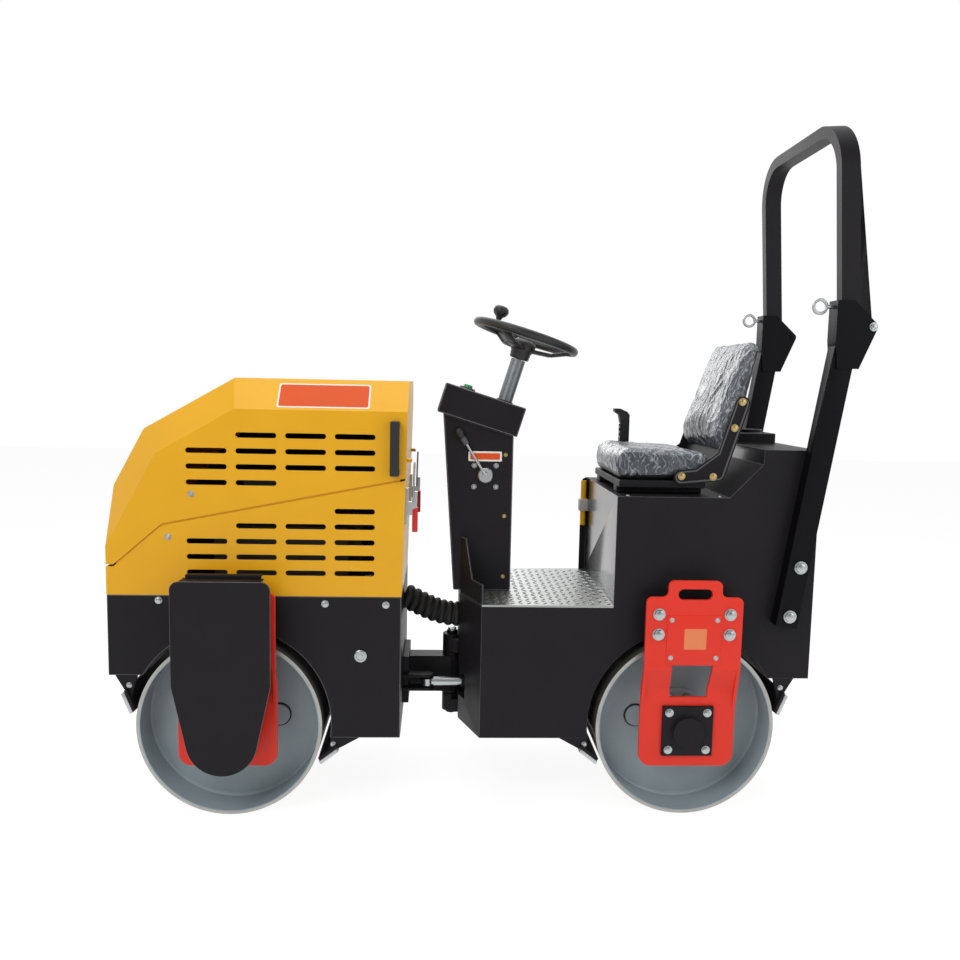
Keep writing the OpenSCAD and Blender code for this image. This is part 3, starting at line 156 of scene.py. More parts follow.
def ridges(tree, where, size_mm):
    """Sharp-crested noise with features of a size."""
    return add(
        tree, "ShaderNodeTexNoise", {"noise_type": "RIDGED_MULTIFRACTAL"},
        {"Vector": where, "Scale": per_metre(size_mm), "Detail": 3.0, "Offset": 1.0},
    ).outputs[0]


def mixed(tree, factor, first, second):
    """Blend of two colours."""
    mix = add(tree, "ShaderNodeMix", {"data_type": "RGBA"}, {"Factor": factor, "A": first, "B": second})
    return mix.outputs["Result"]


def ranged(tree, value, low, high, start=0.0, end=1.0):
    """Value brought from one range to another."""
    return add(
        tree, "ShaderNodeMapRange", {},
        {"Value": value, "From Min": start, "From Max": end, "To Min": low, "To Max": high},
    ).outputs[0]


def reckoned(tree, operation, *values):
    """Result of a sum on values or sockets."""
    return add(tree, "ShaderNodeMath", {"operation": operation}, dict(enumerate(values))).outputs[0]


def bumped(tree, shader, height, strength, depth_mm, targets=("Normal",)):
    """Relief on a shader's normals."""
    bump = add(
        tree, "ShaderNodeBump", {}, {"Height": height, "Strength": strength, "Distance": depth_mm * MM}
    )
    for target in targets:
        tree.links.new(bump.outputs[0], shader.inputs[target])


def enamel(name, hex_code, roughness, peel_mm, peel_depth, coat, level=0.5, tint=0.06):
    """Sprayed enamel: slight orange peel, faint unevenness of tone and gloss."""
    mat, tree, shader, where = new_material(name)
    cloud = clouds(tree, where, 140, 4.0).outputs[0]
    base = colour(hex_code)
    bumped(tree, shader, clouds(tree, where, peel_mm, 2.0).outputs[0], 0.35, peel_depth)
    fill(tree, shader, {
        "Base Color": mixed(tree, cloud, shade(base, 1 - tint), shade(base, 1 + tint)),
        "Roughness": ranged(tree, cloud, roughness * 0.85, roughness * 1.15),
        "Coat Weight": coat,
        "Coat Roughness": 0.12,
        "Specular IOR Level": level,
    })
    return mat


def bare_metal(name, hex_code, roughness, grain_mm, depth):
    """Bare or plated metal with a fine spangle."""
    mat, tree, shader, where = new_material(name)
    grain = clouds(tree, where, grain_mm, 5.0).outputs[0]
    base = colour(hex_code)
    bumped(tree, shader, grain, 0.3, depth)
    fill(tree, shader, {
        "Base Color": mixed(tree, grain, shade(base, 0.72), base),
        "Roughness": ranged(tree, grain, roughness * 0.7, roughness * 1.3),
        "Metallic": 1.0,
    })
    return mat


def moulded(name, hex_code, roughness, grain_mm, depth):
    """Moulded plastic or rubber with a spark-eroded grain."""
    mat, tree, shader, where = new_material(name)
    grain = add(tree, "ShaderNodeTexVoronoi", {}, {"Vector": where, "Scale": per_metre(grain_mm)})
    cloud = clouds(tree, where, 60, 3.0).outputs[0]
    base = colour(hex_code)
    bumped(tree, shader, grain.outputs[0], 0.3, depth)
    fill(tree, shader, {
        "Base Color": mixed(tree, cloud, base, shade(base, 1.35, 0.002)),
        "Roughness": roughness,
    })
    return mat


def drum_finish(name, axle_x, paint_hex, steel_hex, shell_r):
    """Painted end discs with bare rolled steel on the shell and rim."""
    mat, tree, shader, where = new_material(name)
    axis = add(
        tree, "ShaderNodeVectorMath", {"operation": "MULTIPLY_ADD"},
        {0: where, 1: (1, 0, 1), 2: (-axle_x, 0, -AXLE)},
    )
    radius = add(tree, "ShaderNodeVectorMath", {"operation": "LENGTH"}, {0: axis.outputs[0]})
    smear = clouds(tree, where, 35, 5.0).outputs[0]
    cloud = clouds(tree, where, 90, 6.0).outputs[0]
    edge = reckoned(tree, "MULTIPLY_ADD", smear, 0.004, shell_r - 0.003)
    worn = reckoned(tree, "GREATER_THAN", radius.outputs["Value"], edge)
    paint, steel = colour(paint_hex), colour(steel_hex)
    painted_tone = mixed(tree, cloud, shade(paint, 0.82), shade(paint, 1.15))
    steel_tone = mixed(tree, smear, shade(steel, 0.6), steel)
    bumped(tree, shader, smear, 0.25, 0.6)
    fill(tree, shader, {
        "Base Color": mixed(tree, worn, painted_tone, steel_tone),
        "Metallic": worn,
        "Roughness": ranged(tree, cloud, 0.35, 0.55),
    })
    return mat


def wrapped_vinyl(name, vinyl_hex, haze_hex, crease_and_highlight_hex):
    """Dark vinyl under clear wrapping film: milky haze, fine pale creases and wet-looking highlights. The creases'
    pale colour is partly whitened film and partly painted highlight.
    """
    mat, tree, shader, where = new_material(name)
    pull = clouds(tree, where, 90, 2.0)
    bent = add(
        tree, "ShaderNodeVectorMath", {"operation": "MULTIPLY_ADD"},
        {0: pull.outputs["Color"], 1: (0.07, 0.07, 0.07), 2: where},
    ).outputs[0]
    slant = add(
        tree, "ShaderNodeMapping", {},
        {"Vector": bent, "Rotation": (0.0, -FILM_SLANT, 0.0), "Scale": (1.0, 1.0, 0.45)},
    ).outputs[0]
    long_folds, small_folds = ridges(tree, slant, 40), ridges(tree, slant, 15)
    height = reckoned(tree, "MULTIPLY_ADD", small_folds, 0.4, long_folds)
    haze = ranged(tree, clouds(tree, bent, 55, 4.0).outputs[0], 0.0, 1.0, 0.3, 0.7)
    # Pale crease colour: partly whitened film, partly painted highlight.
    crease_and_highlight = ranged(tree, small_folds, 0.0, 0.75, 1.1, 1.75)
    veil = mixed(tree, haze, colour(vinyl_hex), colour(haze_hex))
    bumped(tree, shader, height, 0.85, 2.6, ("Normal", "Coat Normal"))
    fill(tree, shader, {
        "Base Color": mixed(tree, crease_and_highlight, veil, colour(crease_and_highlight_hex)),
        "Roughness": 0.3,
        "Specular IOR Level": 0.15,
        "Coat Weight": 0.65,
        "Coat Roughness": 0.1,
    })
    return mat


def length(name, description, size_mm):
    """Property that holds a length."""
    return bpy.props.FloatProperty(name=name, description=description, default=size_mm * MM, unit="LENGTH")


def tint(name, description, hex_code):
    """Property that holds a colour."""
    return bpy.props.StringProperty(name=name, description=description, default=hex_code)


class RollerSizes(bpy.types.PropertyGroup):
    """Sizes of the dressed details."""

    fold_radius: length("Fold radius", "Rounding of folded sheet edges", 1.4)
    plate_radius: length("Plate radius", "Rounding of thick plate edges", 2.5)
    tube_radius: length("Tube radius", "Corner radius of the roll bar tube", 9)
    tread_pitch: length("Tread pitch", "Spacing of the raised bars on the floor", 25)
    hose_pitch: length("Hose rib pitch", "Spacing of the hose sleeve's ribs", 25)
    hose_radius: length("Hose radius", "Radius of the hose sleeve in its valleys", 34.5)


class RollerColours(bpy.types.PropertyGroup):
    """Colours of the finishes, as sRGB hex codes."""

    hood: tint("Hood", "Enamel of hood and panels", "#e8ab17")
    frame: tint("Frame", "Enamel of the frames", "#1f1d20")
    bracket: tint("Bracket", "Enamel of the drum brackets", "#ea3726")
    drum: tint("Drum", "Paint of the drum discs", "#9dabb1")
    label: tint("Label", "Blank labels", "#d9531c")


FINISH = {}


def make_finishes(tints):
    """All finishes of the machine, named for what they are."""
    for key, *looks in (
        # Sprayed two-pack enamel on sheet steel: even colour with a soft sheen.
        ("yellow", "yellow_sprayed_enamel", tints.hood, 0.34, 3.0, 0.15, 0.0, 0.35),
        ("black", "black_sprayed_enamel", tints.frame, 0.45, 3.0, 0.2, 0.0, 0.14, 0.2),
        ("red", "red_sprayed_enamel", tints.bracket, 0.34, 3.0, 0.2, 0.0, 0.3),
        # Deeper black of the roll bar's legs: painted shade, the frame's black darkened where the legs stand
        # darker in their light.
        ("black_tube_painted_shade", "black_enamel_painted_shade_on_tube", "#0b0b0f", 0.4, 3.0, 0.2, 0.0, 0.1, 0.2),
        # The same enamel made paler on rounded edges: a painted highlight where it catches the light.
        ("black_edge_painted_highlight", "black_enamel_painted_edge_highlight", "#555458", 0.36, 3.0, 0.1, 0.0, 0.5, 0.2),
        # Smooth black panel that mirrors the backdrop at a flat angle.
        ("black_panel", "black_enamel_smooth_panel", tints.frame, 0.22, 3.0, 0.08, 0.45, 0.4, 0.2),
        # Printed label films, left blank.
        ("label", "blank_label_film", tints.label, 0.5, 2.0, 0.03, 0.0, 0.25),
        ("pale_label", "pale_label_film", "#ec8552", 0.42, 2.0, 0.03, 0.1),
        ("white", "white_label_film", "#e9e7e1", 0.42, 2.0, 0.03, 0.1),
    ):
        FINISH[key] = enamel(*looks)
    for key, *looks in (
        # Zinc-plated fasteners: grey metal with a faint spangle.
        ("zinc", "zinc_plated_steel", "#c4c8c9", 0.32, 4.0, 0.1),
        # Yellow-passivated bolts on the seat.
        ("brass", "yellow_passivated_steel", "#d2bb80", 0.35, 4.0, 0.1),
        # Ground steel of the scraper blades.
        ("blade", "ground_blade_steel", "#d3d6d6", 0.5, 8.0, 0.2),
        # Rolled chequer plate: bright and slightly scuffed.
        ("aluminium", "chequered_aluminium", "#b4b6b5", 0.38, 12.0, 0.2),
        # Dull zinc of the steering column.
        ("galvanised", "galvanised_tube", "#8d9295", 0.45, 9.0, 0.25),
    ):
        FINISH[key] = bare_metal(*looks)
    for key, *looks in (
        # Natural rubber of mounts and hose sleeve: dull black.
        ("rubber", "black_rubber", "#161617", 0.62, 1.6, 0.2),
        # Grey rubber boot of the throttle.
        ("grey_rubber", "grey_rubber", "#4a4c50", 0.55, 1.6, 0.2),
        # Moulded polypropylene of wheel, grips and knobs.
        ("plastic", "black_moulded_plastic", "#19191b", 0.45, 1.2, 0.15),
        # Dipped vinyl of the latches, and plastic of the tube's clip and of the start button's cap.
        ("red_grip", "red_dipped_grip", "#c8161b", 0.35, 1.5, 0.1),
        ("pale_plastic", "pale_grey_plastic", "#a8a7a2", 0.5, 1.6, 0.1),
        ("green_cap", "green_button_cap", "#1f8a46", 0.35, 1.5, 0.1),
        # Grey cast iron of the engine, seen through the slots.
        ("iron", "cast_iron", "#3b3c3d", 0.6, 2.5, 0.4),
        # Pressed vinyl shell on the cushions' hidden sides.
        ("shell", "black_vinyl_shell", "#18181a", 0.42, 2.2, 0.25),
        # Dull near-black sheet of the baffle, with a coarse cell grain: painted shade for the dark engine bay
        # behind the slots.
        ("shade_sheet_black", "black_sheet_painted_shade", "#101011", 0.95, 6.0, 1.2),
    ):
        FINISH[key] = moulded(*looks)
    # Seat vinyl in the clear film that it is delivered in; the pale crease colour is partly whitened film and
    # partly painted highlight.
    FINISH["vinyl"] = wrapped_vinyl("vinyl_in_clear_film", "#44474d", "#595e65", "#b9bfc7")
    # Painted discs inside shells of bare rolled steel.
    for end, axle_x in AXLE_X.items():
        FINISH[end + "_drum"] = drum_finish(
            end + "_drum_paint_and_rolled_steel", axle_x, tints.drum, "#c3c2bd", SHELL_RADIUS
        )


def show(name, data):
    """New object in the scene."""
    obj = bpy.data.objects.new(name, data)
    bpy.context.scene.collection.objects.link(obj)
    return obj


def painted(obj, finish):
    """Gives an object one finish."""
    obj.data.materials.clear()
    obj.data.materials.append(FINISH[finish])


def piece(name, mesh, finish, body, replaced=()):
    """New piece in its finish, on its body."""
    obj = show(name, mesh)
    painted(obj, finish)
    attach(obj, body)
    if replaced:
        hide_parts(*replaced)
    return obj


def baked(obj):
    """Plain mesh of an object with its modifiers."""
    graph = bpy.context.evaluated_depsgraph_get()
    graph.update()
    return bpy.data.meshes.new_from_object(obj.evaluated_get(graph))


def soften(obj, angle=35):
    """Smooth shading that keeps real edges."""
    obj.data.shade_smooth()
    obj.data.set_sharp_from_angle(angle=math.radians(angle))


def opened(node):
    """Copy of a solid's mesh, and its shape to edit with its corners joined."""
    mesh = frame["nodes"][node].data.copy()
    shape = bmesh.new()
    shape.from_mesh(mesh)
    bmesh.ops.remove_doubles(shape, verts=shape.verts, dist=2e-6)
    return mesh, shape


def closed(shape, mesh):
    """Mesh that takes an edited shape."""
    shape.to_mesh(mesh)
    shape.free()
    return mesh


def rounded(node, finish, radius, segments=2, angle=28, rim=0.0, edge=None):
    """Copy of a solid with rounded edges, standing for it.

    A rim is the width left proud round the outer sides, whose middle is pressed in. An edge finish
    goes on the rounding and on the step inside the rim: a paler enamel there paints a highlight.
    """
    mesh, shape = opened(node)
    bmesh.ops.dissolve_limit(
        shape, angle_limit=math.radians(0.6), verts=shape.verts, edges=shape.edges
    )
    if rim:
        shape.normal_update()
        outer = [
            f for f in shape.faces
            if f.normal.y * math.copysign(1, f.calc_center_median().y) > FACING
        ]
        bmesh.ops.inset_individual(shape, faces=outer, thickness=rim, use_even_offset=True)
        step = bmesh.ops.inset_individual(
            shape, faces=outer, thickness=rim, depth=-rim / 3, use_even_offset=True
        )
        for face in step["faces"]:
            face.material_index = 1
    mesh.materials.clear()
    for key in (finish, edge or finish):
        mesh.materials.append(FINISH[key])
    rough = show(node + "_cut", closed(shape, mesh))
    soften(rough, angle)
    bevel = rough.modifiers.new("edge", "BEVEL")
    bevel.width = radius
    bevel.segments = segments
    bevel.limit_method = "ANGLE"
    bevel.angle_limit = math.radians(angle)
    bevel.use_clamp_overlap = True
    bevel.harden_normals = True
    bevel.material = 1 if edge else -1
    mesh = baked(rough)
    bpy.data.objects.remove(rough)
    marks = [face.material_index for face in mesh.polygons]
    done = piece(node + "_dressed", mesh, finish, BODY[node], (node,))
    if edge:
        mesh.materials.append(FINISH[edge])
        mesh.polygons.foreach_set("material_index", marks)
    return done


def refaced(obj, finish, chosen):
    """Gives the faces that a test picks another finish."""
    obj.data.materials.append(FINISH[finish])
    last = len(obj.data.materials) - 1
    for face in obj.data.polygons:
        if chosen(face):
            face.material_index = last


def slab(name, corners, thick, normal, finish, body, radius=0.0):
    """Flat plate over a corner loop, thickened along its normal, with soft edges."""
    shape = bmesh.new()
    face = shape.faces.new([shape.verts.new(c) for c in corners])
    face.normal_update()
    if face.normal.dot(normal) < 0:
        face.normal_flip()
    grown = bmesh.ops.extrude_face_region(shape, geom=[face])
    moved = [v for v in grown["geom"] if isinstance(v, bmesh.types.BMVert)]
    bmesh.ops.translate(shape, verts=moved, vec=Vector(normal).normalized() * thick)
    bmesh.ops.recalc_face_normals(shape, faces=shape.faces)
    if radius:
        bmesh.ops.bevel(
            shape, geom=shape.edges[:], offset=radius, segments=2, profile=0.5, affect="EDGES"
        )
    soften(piece(name, closed(shape, bpy.data.meshes.new(name)), finish, body))


def turned(name, profile, base, axis, finish, body, replaced=(), steps=36):
    """Lathe-turned piece about an axis, from pairs of radius and height in millimetres."""
    turn = Vector(axis).to_track_quat("Z", "Y").to_matrix()
    shape = bmesh.new()
    rings = []
    for r, h in profile:
        count = steps if r else 1
        angles = [2 * math.pi * i / count for i in range(count)]
        places = [Vector((r * math.cos(a), r * math.sin(a), h)) for a in angles]
        rings.append([shape.verts.new(base + turn @ p * MM) for p in places])
    for low, high in zip(rings, rings[1:]):
        for i in range(max(len(low), len(high))):
            ring = [low[i % len(low)], low[(i + 1) % len(low)]]
            ring += [high[(i + 1) % len(high)], high[i % len(high)]]
            corners = list(dict.fromkeys(ring))
            if len(corners) > 2:
                shape.faces.new(corners)
    bmesh.ops.remove_doubles(shape, verts=shape.verts, dist=1e-6)
    bmesh.ops.recalc_face_normals(shape, faces=shape.faces)
    soften(piece(name, closed(shape, bpy.data.meshes.new(name)), finish, body, replaced), 42)


def round_loop(width, height, radius, steps=6):
    """Corner loop of a rounded rectangle about its middle."""
    loop = []
    u, v = width / 2 - radius, height / 2 - radius
    for sx, sy, start in ((1, 1, 0), (-1, 1, 90), (-1, -1, 180), (1, -1, 270)):
        for i in range(steps + 1):
            a = math.radians(start + 90 * i / steps)
            loop.append((sx * u + radius * math.cos(a), sy * v + radius * math.sin(a)))
    return loop


def placed_loop(loop, middle, right, up):
    """Loop laid on a plane."""
    return [middle + right * u + up * v for u, v in loop]


def new_tree(name, **sockets):
    """Geometry tree with its sockets, and its start."""
    tree = bpy.data.node_groups.new(name, "GeometryNodeTree")
    for socket, kind in {"Geometry": "Geometry", **sockets, "Finish": "Material"}.items():
        tree.interface.new_socket(socket, in_out="INPUT", socket_type="NodeSocket" + kind)
    tree.interface.new_socket("Geometry", in_out="OUTPUT", socket_type="NodeSocketGeometry")
    return tree, add(tree, "NodeGroupInput")


def end_tree(tree, start, mesh):
    """Sends a tree's mesh out in its finish."""
    made = add(
        tree, "GeometryNodeSetMaterial", {}, {"Geometry": mesh, "Material": start.outputs["Finish"]}
    )
    add(tree, "NodeGroupOutput", {}, {"Geometry": made.outputs[0]})
    return tree


def run_tree(name, mesh, tree, **values):
    """Mesh that a geometry tree makes from another."""
    seed = show(name + "_seed", mesh)
    run = seed.modifiers.new("run", "NODES")
    run.node_group = tree
    for socket, value in values.items():
        run[tree.interface.items_tree[socket].identifier] = value
    made = baked(seed)
    bpy.data.objects.remove(seed)
    return made


def scatter(name, spots, part, finish, body):
    """Sets a repeating part on spots of place, axis and size."""
    mesh = bpy.data.meshes.new(name + "_spots")
    mesh.from_pydata([s[0] for s in spots], [], [])
    mesh.attributes.new("axis", "FLOAT_VECTOR", "POINT")
    mesh.attributes.new("size", "FLOAT", "POINT")
    for i, (_, axis, size) in enumerate(spots):
        mesh.attributes["axis"].data[i].vector = axis
        mesh.attributes["size"].data[i].value = size
    soften(piece(name, run_tree(name, mesh, TREES[part], Finish=FINISH[finish]), finish, body))


def spread_tree(name, build):
    """Geometry tree that sets a small part on every spot and realizes it."""
    tree, start = new_tree(name)
    part = build(tree)
    axis = add(tree, "GeometryNodeInputNamedAttribute", {"data_type": "FLOAT_VECTOR"}, {"Name": "axis"})
    size = add(tree, "GeometryNodeInputNamedAttribute", {"data_type": "FLOAT"}, {"Name": "size"})
    turn = add(
        tree, "FunctionNodeAlignRotationToVector", {"axis": "Z"}, {"Vector": axis.outputs["Attribute"]}
    )
    points = add(tree, "GeometryNodeMeshToPoints", {}, {"Mesh": start.outputs["Geometry"]})
    copies = add(
        tree, "GeometryNodeInstanceOnPoints", {},
        {
            "Points": points.outputs[0],
            "Instance": part,
            "Rotation": turn.outputs[0],
            "Scale": size.outputs["Attribute"],
        },
    )
    real = add(tree, "GeometryNodeRealizeInstances", {}, {"Geometry": copies.outputs[0]})
    return end_tree(tree, start, real.outputs[0])


def joined(tree, pieces):
    """Joins the pieces of a small part, each lifted to its height."""
    join = add(tree, "GeometryNodeJoinGeometry")
    for mesh, lift in pieces:
        moved = add(tree, "GeometryNodeTransform", {}, {"Geometry": mesh, "Translation": (0, 0, lift)})
        tree.links.new(moved.outputs[0], join.inputs[0])
    return join.outputs[0]


def hex_bolt(tree):
    """Bolt one metre across its washer: washer, hexagon head and chamfered crown."""
    washer = add(tree, "GeometryNodeMeshCylinder", {}, {"Vertices": 28, "Radius": 0.5, "Depth": 0.08})
    head = add(tree, "GeometryNodeMeshCylinder", {}, {"Vertices": 6, "Radius": 0.41, "Depth": 0.2})
    crown = add(
        tree, "GeometryNodeMeshCone", {},
        {"Vertices": 18, "Radius Top": 0.26, "Radius Bottom": 0.35, "Depth": 0.05},
    )
    return joined(
        tree,
        [(washer.outputs[0], 0.04), (head.outputs[0], 0.17), (crown.outputs[0], 0.27)],
    )


def pan_screw(tree):
    """Domed screw one metre across, with a flat skirt."""
    skirt = add(tree, "GeometryNodeMeshCylinder", {}, {"Vertices": 20, "Radius": 0.5, "Depth": 0.08})
    dome = add(
        tree, "GeometryNodeMeshCone", {},
        {"Vertices": 20, "Radius Top": 0.3, "Radius Bottom": 0.42, "Depth": 0.16},
    )
    return joined(tree, [(skirt.outputs[0], 0.04), (dome.outputs[0], 0.08)])


def tread_bar(tree):
    """Raised lozenge of the floor plate, one metre long."""
    bar = add(tree, "GeometryNodeMeshUVSphere", {}, {"Segments": 10, "Rings": 6, "Radius": 0.5})
    flat = add(tree, "GeometryNodeTransform", {}, {"Geometry": bar.outputs[0], "Scale": (0.2, 0.12, 1.0)})
    return flat.outputs[0]


TREES = {}


def make_trees():
    """The repeating small parts."""
    TREES["bolt"] = spread_tree("hex_bolts", hex_bolt)
    TREES["screw"] = spread_tree("pan_screws", pan_screw)
    TREES["tread"] = spread_tree("tread_bars", tread_bar)


class ROLLER_OT_bodywork(bpy.types.Operator):
    """Rounds the edges of frames, hood and plates and gives them their enamel"""

    bl_idname = "roller.bodywork"
    bl_label = "Bodywork"

    def execute(self, context):
        size = context.scene.roller_sizes
        # Paler enamel on rounded edges and rim steps: painted highlights.
        edge = "black_edge_painted_highlight"
        for node in ("hood_top", "hood_sides", "lower_panels", "end_panels"):
            rounded(node, "yellow", size.fold_radius)
        rounded("front_chassis", "black", 3 * MM, 3, edge=edge)
        rear = rounded("rear_chassis", "black", 3 * MM, 3, edge=edge)
        floor_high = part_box("floor_plate")[1].z
        refaced(
            rear, "black_panel",
            lambda face: face.normal.x > FACING and face.center.z > floor_high,
        )
        for node in ("console_pedestal", "console_head", "tank_hatch"):
            rounded(node, "black", 4 * MM, 3, edge=edge)
        rounded("seat_base", "black", 4 * MM, 3)
        rounded("hood_handles", "plastic", 4 * MM, 3)
        for node in ("front_cover", "rear_cover", "toe_boards"):
            rounded(node, "black", size.fold_radius, edge=edge)
        rounded("seat_brackets", "black", 0.9 * MM, rim=4.5 * MM, edge=edge)
        for node in ("front_brackets", "rear_brackets"):
            rounded(node, "red", size.plate_radius)
        for node in (
            "front_coupler", "rear_knuckle", "front_hubs", "rear_hubs", "front_scrapers", "rear_scrapers",
        ):
            rounded(node, "black", 2 * MM)
        rounded("rops_hoop", "black", size.tube_radius, 3, 50)
        # The legs take the deeper black, painted shade, with paler edges as painted highlights.
        rounded("rops_legs", "black_tube_painted_shade", 4 * MM, 3, 50, edge=edge)
        for node, finish in {
            "front_drum": "front_drum", "rear_drum": "rear_drum", "engine_block": "iron",
            "hood_hinges": "black", "hood_latches": "zinc", "front_mounts": "rubber",
            "rear_mounts": "rubber", "floor_plate": "aluminium", "steering_column": "galvanised",
            "stow_tube": "yellow", "rops_pins": "zinc", "ram_barrel": "black", "ram_rod": "zinc",
        }.items():
            painted(frame["nodes"][node], finish)
        return {"FINISHED"}


class ROLLER_OT_baffle(bpy.types.Operator):
    """Stands a dull black baffle between the engine and the slots, painted shade for the engine bay, and flanges
    behind the hood's seam
    """

    bl_idname = "roller.baffle"
    bl_label = "Shade baffle"

    def execute(self, context):
        # A dark sheet across the engine bay: painted shade inside the hood's slots.
        outline = (
            (216, 690), (960, 690), (960, 800), (880, 980), (800, 1090), (650, 1225),
            (600, 1240), (240, 1240), (216, 1216),
        )
        half = 9
        loop = [at(x, -half, z) for x, z in outline]
        slab("shade_baffle", loop, 2 * half * MM, LEFT, "shade_sheet_black", "front_frame", 4 * MM)
        # Return flange of the lower panels, seen as the back of the hood's seam.
        band = ((197, 1056), (907, 913), (1049, 790), (1031, 768), (895, 887), (191, 1030))
        inside = 269
        for s, side in SIDES:
            loop = [at(x, s * inside, z) for x, z in band]
            slab("seam_flange_" + side, loop, 6 * MM, Vector((0, s, 0)), "yellow", "front_frame")
        return {"FINISHED"}


class ROLLER_OT_covers(bpy.types.Operator):
    """Folds a hem over the bracket behind each motor cover"""

    bl_idname = "roller.covers"
    bl_label = "Cover hems"

    def execute(self, context):
        half = 0.11
        for end, s in ENDS:
            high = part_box(end + "_brackets")[1]
            face, top = high.y, high.z
            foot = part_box(end + "_cover")[1].z
            profile = (
                (face + 7 * MM, foot), (face + 7 * MM, top + 5 * MM), (face - 15 * MM, top + 5 * MM),
                (face - 15 * MM, top + 1 * MM), (face + 2 * MM, top + 1 * MM), (face + 2 * MM, foot),
            )
            loop = [Vector((AXLE_X[end] - half, s * y, z)) for y, z in profile]
            slab(end + "_cover_hem", loop, 2 * half, AHEAD, "black", end + "_frame", 0.8 * MM)
        return {"FINISHED"}


class ROLLER_OT_drum_ends(bpy.types.Operator):
    """Lays weld beads and plug seals on the drums' end discs"""

    bl_idname = "roller.drum_ends"
    bl_label = "Drum ends"

    def execute(self, context):
        bead = [(259.5, 0), (267.9, 0), (267.9, 7.5), (265, 6), (261.5, 3), (259.5, 0)]
        seal = [(33.2, 0), (38, 0), (38, 1.5), (36.5, 3), (33.2, 3), (33.2, 0)]
        disc_face, plug_reach = 195, 133
        for end, _ in ENDS:
            body = end + "_drum"
            for s, side in SIDES:
                out = Vector((0, s, 0))
                middle = Vector((AXLE_X[end], s * disc_face * MM, AXLE))
                turned(f"{end}_weld_bead_{side}", bead, middle, out, body, body, (), 96)
                for i, dx in enumerate((-plug_reach, plug_reach)):
                    spot = middle + Vector((dx * MM, 0, 0))
                    turned(f"{end}_plug_seal_{side}_{i + 1}", seal, spot, out, "rubber", body)
        return {"FINISHED"}


class ROLLER_OT_fasteners(bpy.types.Operator):
    """Sets bolts and screws on the brackets, frames, console, seat and drums"""

    bl_idname = "roller.fasteners"
    bl_label = "Fasteners"

    def execute(self, context):
        bolts = {"front_frame": [], "rear_frame": [], "front_drum": [], "rear_drum": []}
        screws = {"front_frame": [], "rear_frame": [], "hood": []}
        for end, turn in ENDS:
            for s, _ in SIDES:
                # The motor's cover hides the bearing on one side.
                self.bracket(end, turn, s, s != turn, bolts, screws)
                self.drum(end, turn, s, bolts)
        self.frames(bolts, screws)
        for body, spots in bolts.items():
            scatter(body + "_bolts", spots, "bolt", "zinc", body)
        for body, spots in screws.items():
            scatter(body + "_screws", spots, "screw", "zinc", body)
        seat, edge = [], []
        for s, _ in SIDES:
            for x, z in ((-678, 1060), (-778, 1060), (-838, 1213), (-859, 1294)):
                seat.append((at(x, s * SEAT_ARM_SIDE, z), Vector((0, s, 0)), 0.024))
            for z in (707, 907, 1107):
                edge.append((at(-138, s * CONSOLE_SIDE, z), Vector((0, s, 0)), 0.013))
        scatter("seat_bolts", seat, "bolt", "brass", "rear_frame")
        scatter("pedestal_screws", edge, "screw", "brass", "rear_frame")
        plug = [(0, 0), (19, 0), (19, 4), (16, 6), (13, 6), (12, 3), (7, 3), (6, 7), (0, 7)]
        for s, side in SIDES:
            spot = at(308, s * FRAME_SIDE, 497)
            turned("drain_plug_" + side, plug, spot, Vector((0, s, 0)), "zinc", "front_frame")
        return {"FINISHED"}

    def bracket(self, end, turn, s, open_side, bolts, screws):
        """Bolts of a drum bracket, its bearing plate and its scrapers."""
        body, x0, out = end + "_frame", turn * HALF_BASE, Vector((0, s, 0))
        for dx in (-109, 109):
            for z in (654, 592):
                bolts[body].append((at(x0 + dx, s * BRACKET_FACE, z), out, 0.037))
        if open_side:
            for dx in (-59, 59):
                for dz in (-59, 59):
                    bolts[body].append((at(x0 + dx, s * BEARING_FACE, AXLE_HIGH + dz), out, 0.026))
            for dx in (-69.5, 69.5):
                for z in (637, 520):
                    screws[body].append((at(x0 + dx, s * PANEL_FACE, z), out, 0.015))
        for dx, z in ((304, 402), (-312, 216)):
            bolts[body].append((at(x0 + turn * dx, s * FRAME_SIDE, z), out, 0.017))

    def drum(self, end, turn, s, bolts):
        """Ring of bolts round a drum's hub."""
        ring, count = 72, 8
        for i in range(count):
            a = math.radians(180 / count + 360 / count * i)
            x, z = turn * HALF_BASE + ring * math.cos(a), AXLE_HIGH + ring * math.sin(a)
            bolts[end + "_drum"].append((at(x, s * HUB_FACE, z), Vector((0, s, 0)), 0.026))

    def frames(self, bolts, screws):
        """Bolts and screws of the frames, hood, roll bar, seat box and console."""
        front, rear = bolts["front_frame"], bolts["rear_frame"]
        for s, _ in SIDES:
            out = Vector((0, s, 0))
            for x, z in ((914, 666), (416, 659), (232, 657)):
                front.append((at(x, s * FRAME_SIDE, z), out, 0.022))
            for x, z in ((-1029, 796), (-1004, 643)):
                rear.append((at(x, s * LEG_SIDE, z), out, 0.04))
            rear.append((at(-1203, s * HINGE_SIDE, 1525), out, 0.026))
            screws["hood"].append((at(813, s * FRAME_SIDE, 990), out, 0.02))
            screws["front_frame"].append((at(883, s * FRAME_SIDE, 860), out, 0.02))
            for x in (-504, -790):
                screws["rear_frame"].append((at(x, s * 262, 1001), UP, 0.014))
        rear.append((at(PIVOT_X, 0, 503), UP, 0.034))
        for x in (-108.5, -37.5):
            for z in (1002, 1071):
                screws["rear_frame"].append((at(x, CONSOLE_SIDE, z), LEFT, 0.017))


